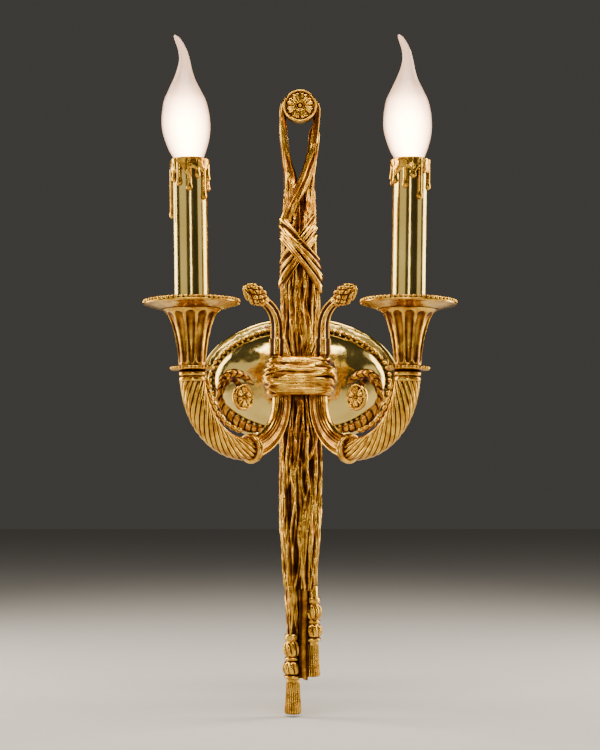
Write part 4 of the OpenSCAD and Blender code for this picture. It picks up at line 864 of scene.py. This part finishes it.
def make_arm_root(word, side):
    at, way = arc_path((BOTTOM_U, ROOT_CZ), ROOT_BEND, 180, COLLAR_AT, 120)
    at = np.vstack([[ROOT_U, -BLOCK_FOOT], [ROOT_U, -BLOCK_FOOT - 2.2], at])
    way = np.r_[270, 270, way]
    f = np.linspace(0, 1, len(at))[:, None]
    t = full_turn(144)
    flank = np.degrees(np.arccos(np.clip(np.cos(t), -1, 1)))
    channel = 1.7 * np.exp(-((flank - 82) / 24) ** 4)
    ribs = sum(0.7 * np.exp(-((flank - at_rib) / 4.5) ** 2) for at_rib in (112, 127, 142))
    lip = -0.7 * np.exp(-((flank - 45) / 10) ** 2)
    fade = 1 - smoothstep((f - 0.92) / 0.06)
    r = 6.6 + f * 1.8 - (channel + ribs + lip) * fade
    dark = np.clip(ribs + channel * 0.1, 0, 1) * fade
    rings = sweep(at, way, section(r, r, t), side)
    cast(f"channelled_root_{word}", [skin(rings, dark)], f"arm_root_{word}", 70)


def make_arm_twist(word, side):
    lead, _ = arc_path((BOTTOM_U, ROOT_CZ), ROOT_BEND, COLLAR_AT, 269, 6)
    rope, _ = arc_path((BOTTOM_U, ROPE_CZ), ROPE_BEND, 270, 358.5, 60)
    line = np.vstack([lead, rope])
    swell = 0.9 + 0.1 * smoothstep(np.linspace(0, 1, len(line)) * 1.3)
    strands = grown(f"rope_strands_{word}", in_arm_plane(line, side), ROPE, {
        "Strands": 14, "Lay": 0.098, "Core radius": 0.0077, "Strand radius": 0.0016,
        "Hand": float(-side)}, swell=swell)
    dress(strands, [f"arm_twist_{word}"])
    core = (7.9 * swell)[:, None]
    rings = sweep(line, heading(line), section(core, core, full_turn(40)), side)
    neck = [(8.2, -3.6), (9.6, -3.4), (10.1, -2.4), (10.1, -1.2), (9.6, -0.2), (8.2, 0.1)]
    neck = [(0.4, neck[0][1])] + rounded(neck).tolist() + [(0.4, neck[-1][1])]
    # The core under the strands is coloured dark all over (0.9): painted shade in the gaps between
    # the strands, together with the patina of those hollows
    core_piece = mesh_object(f"rope_core_{word}", [
        skin(rings, np.full(rings.shape[:2], 0.9)), skin(candle_space(side, lathe(neck)))])
    core_piece.data.materials.append(MATERIALS["antique_brass"])
    trim(core_piece)


def make_arm_collar(word, side):
    a = math.radians(COLLAR_AT)
    u, z = BOTTOM_U + ROOT_BEND * math.cos(a), ROOT_CZ + ROOT_BEND * math.sin(a)
    profile = [(8.4, -3.0), (9.6, -2.9)]
    for middle, bulge, half in ((-1.55, 0.7, 1.2), (1.45, 1.3, 1.4)):
        profile += [(10.0 + bulge * math.cos(t), middle + half * math.sin(t))
                    for t in map(math.radians, np.linspace(-80, 80, 13))]
    rings = lathe(profile + [(9.6, 2.9), (8.4, 3.0)])
    across, sideways, along = rings[..., 0], rings[..., 1], rings[..., 2]
    tilt = math.radians(COLLAR_AT - 270)
    rings = arm_space(side, points(
        u + (along * math.cos(tilt) - across * math.sin(tilt)), sideways,
        z + (along * math.sin(tilt) + across * math.cos(tilt))))
    cast(f"double_ring_{word}", [skin(rings)], f"arm_collar_{word}", 60)


# Scroll: its route as (outward, up), the strip's width as a share by the number of the point,
# and the husk inside its end
SCROLL = [(45, -43.4), (54.5, -42.9), (64, -40.2), (73.5, -34.8), (80.4, -28.6), (84.2, -21.6),
          (83.8, -13.6), (79.6, -6.6), (72.6, -3), (64.6, -3.2), (57.4, -6), (51, -10.4)]
STRIP_SHARE = [(0, 0.7), (1, 0.85), (2, 1.05), (3, 1.05), (5, 0.74), (6, 0.74), (8, 0.92),
               (10, 0.8), (11, 0.2)]
INNER_HUSK = [(82, -19), (80.5, -12.5), (76, -8.2), (70, -7.4), (66, -10.5), (65, -14.5)]
LEAF_PITCH, HUSK_ROW_R = 6.5, 38.33


def make_scroll(word, side):
    t = full_turn(72)
    line = catmull(SCROLL, 24)
    share = table(np.linspace(0, len(SCROLL) - 1, len(line)), STRIP_SHARE)[:, None]
    leaf = np.abs(np.sin(math.pi * distance(line) / LEAF_PITCH - 1.8 * np.abs(np.sin(t))))
    half_w = 3.8 * share * (1 - 0.28 * (1 - leaf ** 0.7) * (np.abs(np.cos(t)) > 0.3))
    half_t = 3.0 * (0.5 + 0.5 * share) * (1 - 0.14 * (1 - leaf ** 0.5))
    rib = 0.35 * np.exp(-(np.cos(t) / 0.14) ** 2)
    strip = sweep(line, heading(line), section(half_w, half_t + rib, t), side)
    strip_dark = 0.2 + 0.8 * smoothstep((0.6 - leaf) / 0.6)

    line = catmull(INNER_HUSK, 10)
    f = np.linspace(0, 1, len(line))[:, None]
    teeth = np.abs(np.sin(9 * f))
    swell = np.sqrt(np.clip(1 - (2 * f - 1) ** 4, 0, 1)) * (1 - 0.25 * teeth)
    husk = sweep(line, heading(line), section(3.0 * swell, 2.6 * swell, t), side)
    husk_dark = np.broadcast_to(0.35 + 0.5 * teeth, husk.shape[:2])
    cast(f"leaf_scroll_{word}", [skin(strip, strip_dark), skin(husk, husk_dark)],
         f"scroll_{word}", 75)
    row, _ = arc_path((BOTTOM_U, ROPE_CZ), HUSK_ROW_R, 279, 350, 60)
    bead_row(f"husk_row_{word}", in_arm_plane(row, side), 9, 6.8, 4.7, closed=False)


def make_scroll_rosette(word, side):
    r = DISC_R
    face, dark = flower_relief(r - 2.6, 6, 1.3)
    face = points(face[..., 0] + DISC_U, -0.5 - face[..., 2], face[..., 1] + DISC_Z)
    disc = lathe(rounded([(0.3, -1.8), (r - 1, -1.8), (r, -0.9), (r, 0.9), (r - 1, 1.8),
                          (r - 2, 1.6), (r - 2.6, 0.6), (0.3, 0.6)]))
    disc = points(disc[..., 0] + DISC_U, -disc[..., 2], disc[..., 1] + DISC_Z)
    cast(f"scroll_flower_{word}", [skin(arm_space(side, face), dark), skin(arm_space(side, disc))],
         f"scroll_rosette_{word}", 50)


# Bud: the stalk's straight foot as (height, radius), the pod's outline as shares of its own
STALK_FOOT = [(10.5, 5), (13.2, 5), (13.6, 5.3), (14.3, 6), (17, 6), (20, 5.8), (23, 5.9),
              (25.4, 6.1), (26, 5.9), (26.4, 5.0), (27.4, 4.9), (30, 5.0), (32, 4.95)]
POD = [(0, 0.5), (0.03, 0.56), (0.08, 0.6), (0.14, 0.58), (0.2, 0.78), (0.32, 0.93), (0.45, 0.98),
       (0.6, 0.93), (0.75, 0.78), (0.87, 0.56), (0.95, 0.33), (1, 0.08)]
POD_R, POD_H = 7.3, 24.5


def make_bud(word, side):
    rise, foot_r = np.array(STALK_FOOT).T
    a = np.radians(np.linspace(180, 180 - STALK_TURN, 80))
    bend = points(STALK_U + STALK_BEND * (1 + np.cos(a)), STALK_TOP + STALK_BEND * np.sin(a))
    at = np.vstack([points(STALK_U, rise), bend])
    way = np.r_[np.full(len(rise), 90.0), np.degrees(a) - 90]
    t = full_turn(96)
    cut = 1.3 * np.abs(np.cos(2 * t)) ** 1.4 + 0.25 * np.abs(np.sin(6 * t))
    r = np.r_[foot_r, 4.9 - 1.0 * np.linspace(0, 1, len(a))][:, None] - cut + 0.35
    stalk = sweep(at, way, section(r, r, t), side)
    dark = smoothstep((cut - 0.8) / 0.6)
    cast(f"flower_stalk_{word}", [skin(stalk, dark)], f"bud_stalk_{word}", 70)

    # The pod's seeds lie where two rows of spirals cross, above a short calyx
    t = full_turn(160)
    z = np.linspace(0, 1, 140)[:, None]
    seed = np.abs(np.sin(4 * t + 8 * z)) * np.abs(np.sin(4 * t - 9 * z + 0.8 + 0.5 * np.sin(7 * z)))
    body = smoothstep((z - 0.16) / 0.05) * smoothstep((1 - z) / 0.1)
    calyx = smoothstep((0.16 - z) / 0.05)
    r = (POD_R * table(z, POD) + body * 2.2 * (seed ** 0.6 - 0.66)
         + calyx * 0.5 * (np.abs(np.sin(5 * t)) - 0.5))
    x, y, h = r * np.cos(t), r * np.sin(t), POD_H * z
    turn = math.radians(STALK_TURN)
    pod = arm_space(side, points(
        at[-1, 0] + x * math.cos(turn) + h * math.sin(turn), y,
        at[-1, 1] - x * math.sin(turn) + h * math.cos(turn)))
    cast(f"seed_bud_{word}", [skin(pod, body * smoothstep(0.5 - seed))], f"bud_{word}", 80)


# Candle cup: beaded flange, fluted trumpet, drip pan with a roped rim
def ring_line(side, radius, height, count=160):
    t = full_turn(count)[0]
    return candle_space(side, points(radius * np.cos(t), radius * np.sin(t), height))


def make_cup(word, side):
    foot = [(0.5, 0), (8.4, 0)]
    foot += [(8.7 + 1.5 * math.cos(t), 2.23 + 1.94 * math.sin(t))
             for t in map(math.radians, range(-60, 61, 15))]
    foot += [(8.6, 4.3), (12.6, 4.95), (14.6, 5.3), (15.2, 6.25), (14.6, 7.2), (12.8, 7.85),
             (11.2, CUP_Z), (0.5, CUP_Z)]
    cast(f"cup_foot_{word}", [skin(candle_space(side, lathe(foot)))], f"cup_flange_{word}", 50)
    bead_row(f"cup_foot_beads_{word}", ring_line(side, 14.9, 6.3), 36, 2.4, 2.6)

    v = np.linspace(0, 1, 120)[:, None]
    t = full_turn(288)
    phi = ((t * FLUTES / (2 * math.pi)) % 1) * 2 - 1
    tip = 0.46 - 0.07 * phi ** 2
    span = np.clip(1 - ((v - 0.49) / tip) ** 2, 0, 1) ** 0.3
    hollow = np.sqrt(np.clip(1 - (phi / 0.82) ** 2, 0, 1)) * span
    r = 9.8 + 11.4 * (0.75 * v ** 2 + 0.25 * v ** 16) + 0.3 - (1.2 + 1.0 * v) * hollow
    dark = np.clip(3 * hollow * (1 - hollow), 0, 1) * 0.75
    cup = points(r * np.cos(t), r * np.sin(t), CUP_Z + v * CUP_H)
    cast(f"fluted_trumpet_{word}", [skin(candle_space(side, cup), dark)], f"fluted_cup_{word}", 75)

    pan = [(5.1, 0), (21, 0), (26.8, 1.6), (31.6, 3.2), (34.2, 3.7), (35, 4.4), (34.7, 5.2),
           (33.6, 5.5), (32.2, 5.8), (31.2, 5.6), (25.2, 4), (20.2, 3), (5.1, 3)]
    pan = rounded([(r, PAN_Z + z) for r, z in pan + pan[:1]])[:-1]
    cast(f"drip_dish_{word}", [skin(candle_space(side, lathe(pan, 160)), loop=True)],
         f"drip_pan_{word}", 60)
    bead_row(f"roped_rim_{word}", ring_line(side, 33.4, PAN_Z + 6.0, 240), 60, 3.8, 3.3, 0.6)


def make_candle(word, side):
    r, foot, top = TUBE_R, PAN_FLOOR, TUBE_TOP
    wall = [(r, foot), (r, foot + 0.3)] + [(r, z) for z in np.linspace(foot + 2, top - 1, 14)]
    wall += [(r, top - 0.2), (r - 0.2, top), (r - 0.8, top), (r - 1, top - 0.2), (r - 1, foot)]
    cast(f"candle_sleeve_{word}", [skin(candle_space(side, lathe(wall, 160)), loop=True)],
         f"candle_tube_{word}", 40)


# Drips on each candle: where round the tube, in degrees, and how far they run down; the lip
# that closes the collar inside, as (radius, height over the tube's top)
DRIPS = {
    "left": [(-88, 42), (-54, 17), (-32, 20), (2, 24), (28, 15), (53, 30), (80, 16), (110, 22),
             (148, 30), (184, 18), (222, 26)],
    "right": [(-88, 15), (-60, 18), (-19, 22), (6, 15), (28, 30), (72, 22), (104, 17), (140, 28),
              (176, 20), (212, 32), (246, 18)],
}
DRIP_LIP = [(12.2, -42), (12.2, -9), (11.75, -2), (11.75, 1.2), (12.6, 1.9), (13.8, 1.7)]


def make_drips(word, side):
    """Cast wax: a collar whose lower edge runs down the tube in round-ended drips."""
    t = full_turn(288)
    d = np.linspace(0, 46, 150)[:, None]
    edge = 9.5 + 1.6 * np.sin(7 * t) + 1.1 * np.sin(11 * t + 2)
    cover = np.sqrt(np.clip((edge - d) / 2.2, 0, 1))
    coat = cover * (1.55 + 0.18 * np.sin(3 * t + d)
                    + 0.22 * np.sin(9 * t + 1) * smoothstep((8 - d) / 8))
    for at, length in DRIPS[word]:
        off = ((np.degrees(t) - (side * at - 44) + 180) % 360 - 180) * math.pi / 180 * 13.6
        swell = 1.9 + 0.75 * np.exp(-((d - length + 2.2) / 2.2) ** 2)
        end = np.clip((length - d) / 2.1, 0, 1)
        half = swell * np.sqrt(np.clip(1 - (1 - end) ** 2, 0, 1))
        across = np.clip(1 - (off / np.maximum(half, 0.01)) ** 2, 0, 1)
        coat = np.maximum(coat, (0.3 + 1.9 * half / 2.4) * np.sqrt(across))
    r = 12.45 + np.where(coat > 0.02, 0.4 + coat, 0)
    outer = points(r * np.cos(t), r * np.sin(t), TUBE_TOP + 1 - d)
    lip = lathe([(r, TUBE_TOP + z) for r, z in DRIP_LIP], t.size)
    dark = np.concatenate([smoothstep(0.6 - coat) + 0 * r, np.zeros(lip.shape[:2])])
    body = candle_space(side, np.concatenate([outer, lip]))
    cast(f"wax_drips_{word}", [skin(body, dark, loop=True)], f"drip_collar_{word}", 80)


# Bulbs: drawn flame glass, bent at the tip, its thread on the cap. Rows of the flame are
# (share of the height, share of the radius, sideways shift as a share of the radius)
FLAME = [(-0.1064, 0.49, 0), (-0.05, 0.52, 0), (0.01, 0.59, -0.02), (0.053, 0.67, -0.06),
         (0.092, 0.765, -0.08), (0.171, 0.905, -0.1), (0.25, 0.99, -0.125), (0.33, 1, -0.14),
         (0.407, 0.955, -0.15), (0.486, 0.86, -0.165), (0.565, 0.665, -0.175),
         (0.644, 0.465, -0.18), (0.724, 0.315, -0.165), (0.8, 0.225, -0.16), (0.87, 0.185, -0.22),
         (0.93, 0.155, -0.34), (0.975, 0.115, -0.46), (1, 0.04, -0.54)]
CAP_TURNS, CAP_NECK_R = 5, 9.17


def make_bulb(word, side):
    line = catmull(FLAME, 8)
    share, r, shift = line[:, :1], (line[:, 1:2] * BULB_R).clip(0.3), line[:, 2:3] * BULB_R
    t = full_turn(96)
    lean = ARM_ANGLE if side < 0 else math.pi + ARM_ANGLE
    rings = points(-shift * math.cos(lean) + r * np.cos(t),
                   -shift * math.sin(lean) + r * np.sin(t), TUBE_TOP + share * BULB_H)
    glow = (np.clip(1.05 - smoothstep((share - 0.25) / 0.4), 0, 1)
            * smoothstep((share + 0.12) / 0.2))
    cast(f"flame_glass_{word}", [skin(candle_space(side, rings), glow)],
         f"bulb_glass_{word}", 80, f"bulb_{word}", "glow")
    rows = [(0.3, 0), (2.4, 0), (3.4, 1.4), (5, 4), (6.3, 5.4)]
    rows += [(6.55 + 0.33 * math.sin(2 * math.pi * k / 9), 6.4 + 12.6 * k / 44)
             for k in range(9 * CAP_TURNS)]
    rows += [(6.9, CAP_LEN - 2), (CAP_NECK_R, CAP_LEN - 0.6), (CAP_NECK_R, CAP_LEN), (0.3, CAP_LEN)]
    foot = TUBE_TOP - CAP_DROP - CAP_LEN
    cap = candle_space(side, lathe([(r, foot + z) for r, z in rows], 72))
    cast(f"screw_cap_{word}", [skin(cap)], f"bulb_cap_{word}", 50, f"bulb_{word}")


make_backplate()
make_spacer()
make_waist_band()
make_stem_upper()
make_stem_lower()
make_cloth_tail()
make_tassel("long_tassel", "tassel_long", LONG_X, -TAIL_Z, 0.0)
make_tassel("short_tassel", "tassel_short", SHORT_X, -SPLIT_Z - 0.6, 4.4)
make_ribbon_loop()
make_boss()
for word, side in SIDES.items():
    for make in (make_arm_root, make_arm_twist, make_arm_collar, make_scroll, make_scroll_rosette,
                 make_bud, make_cup, make_candle, make_drips, make_bulb):
        make(word, side)

# The solids that stay get the finish of their slot
for name, node in frame["nodes"].items():
    node.data.materials.clear()
    node.data.materials.append(MATERIALS[SLOT_OF[name]])


# Floor, light and camera
WARM, WARM_WHITE = "#FFF4E2", "#FFF8EE"
LIGHTS = {
    # place and size in metres, power in watts, colour
    "left_rim": ((-0.85, 0.2, 0.15), (0.45, 1.3), 17, WARM),
    "right_rim": ((0.85, 0.2, 0.15), (0.45, 1.3), 17, WARM),
    "left_softbox": ((-1.3, -1.3, 0.5), (1.5, 1.3), 5.5, WARM),
    "right_softbox": ((1.7, -0.9, 0.5), (0.9, 1.1), 3.2, WARM),
    "top_softbox": ((0.0, -0.5, 0.95), (0.9, 0.3), 12, WARM_WHITE),
    "front_strip": ((0.04, -1.75, 0.15), (0.07, 1.0), 5, WARM),
}
LIT_POINT = (0.0, -0.06, 0.0)


def add_floor():
    """A large sheet just under the lowest tassel."""
    reach, low = 6.0, cad_box[0][2] - 0.002
    mesh = bpy.data.meshes.new("floor")
    mesh.from_pydata([(-reach, -reach, low), (reach, -reach, low), (reach, reach, low),
                      (-reach, reach, low)], [], [(0, 1, 2, 3)])
    mesh.materials.append(make_material("studio_paper", studio_paper))
    placed("floor", mesh)


def light_the_studio():
    for name, (at, size, power, colour) in LIGHTS.items():
        data = bpy.data.lights.new(name, "AREA")
        data.shape = "RECTANGLE"
        data.size, data.size_y = size
        data.energy = power
        data.color = linear(colour)[:3]
        lamp = placed(name, data)
        lamp.location = at
        lamp.rotation_euler = (Vector(LIT_POINT) - Vector(at)).to_track_quat("-Z", "Y").to_euler()
    world = bpy.data.worlds.new("studio")
    bpy.context.scene.world = world
    world.use_nodes = True
    back = world.node_tree.nodes["Background"]
    back.inputs["Color"].default_value = linear("#8E8A84")
    back.inputs["Strength"].default_value = 0.2


def add_camera():
    data = bpy.data.cameras.new("camera")
    data.sensor_width = 36
    data.lens = data.sensor_width * FOCAL / FRAME_H
    data.clip_start, data.clip_end = 0.05, 30
    camera = placed("camera", data)
    camera.location = CAMERA_AT
    camera.rotation_euler = (math.radians(90) + math.atan(LOOK_UP / FOCAL), 0, 0)
    bpy.context.scene.camera = camera


add_floor()
light_the_studio()
add_camera()
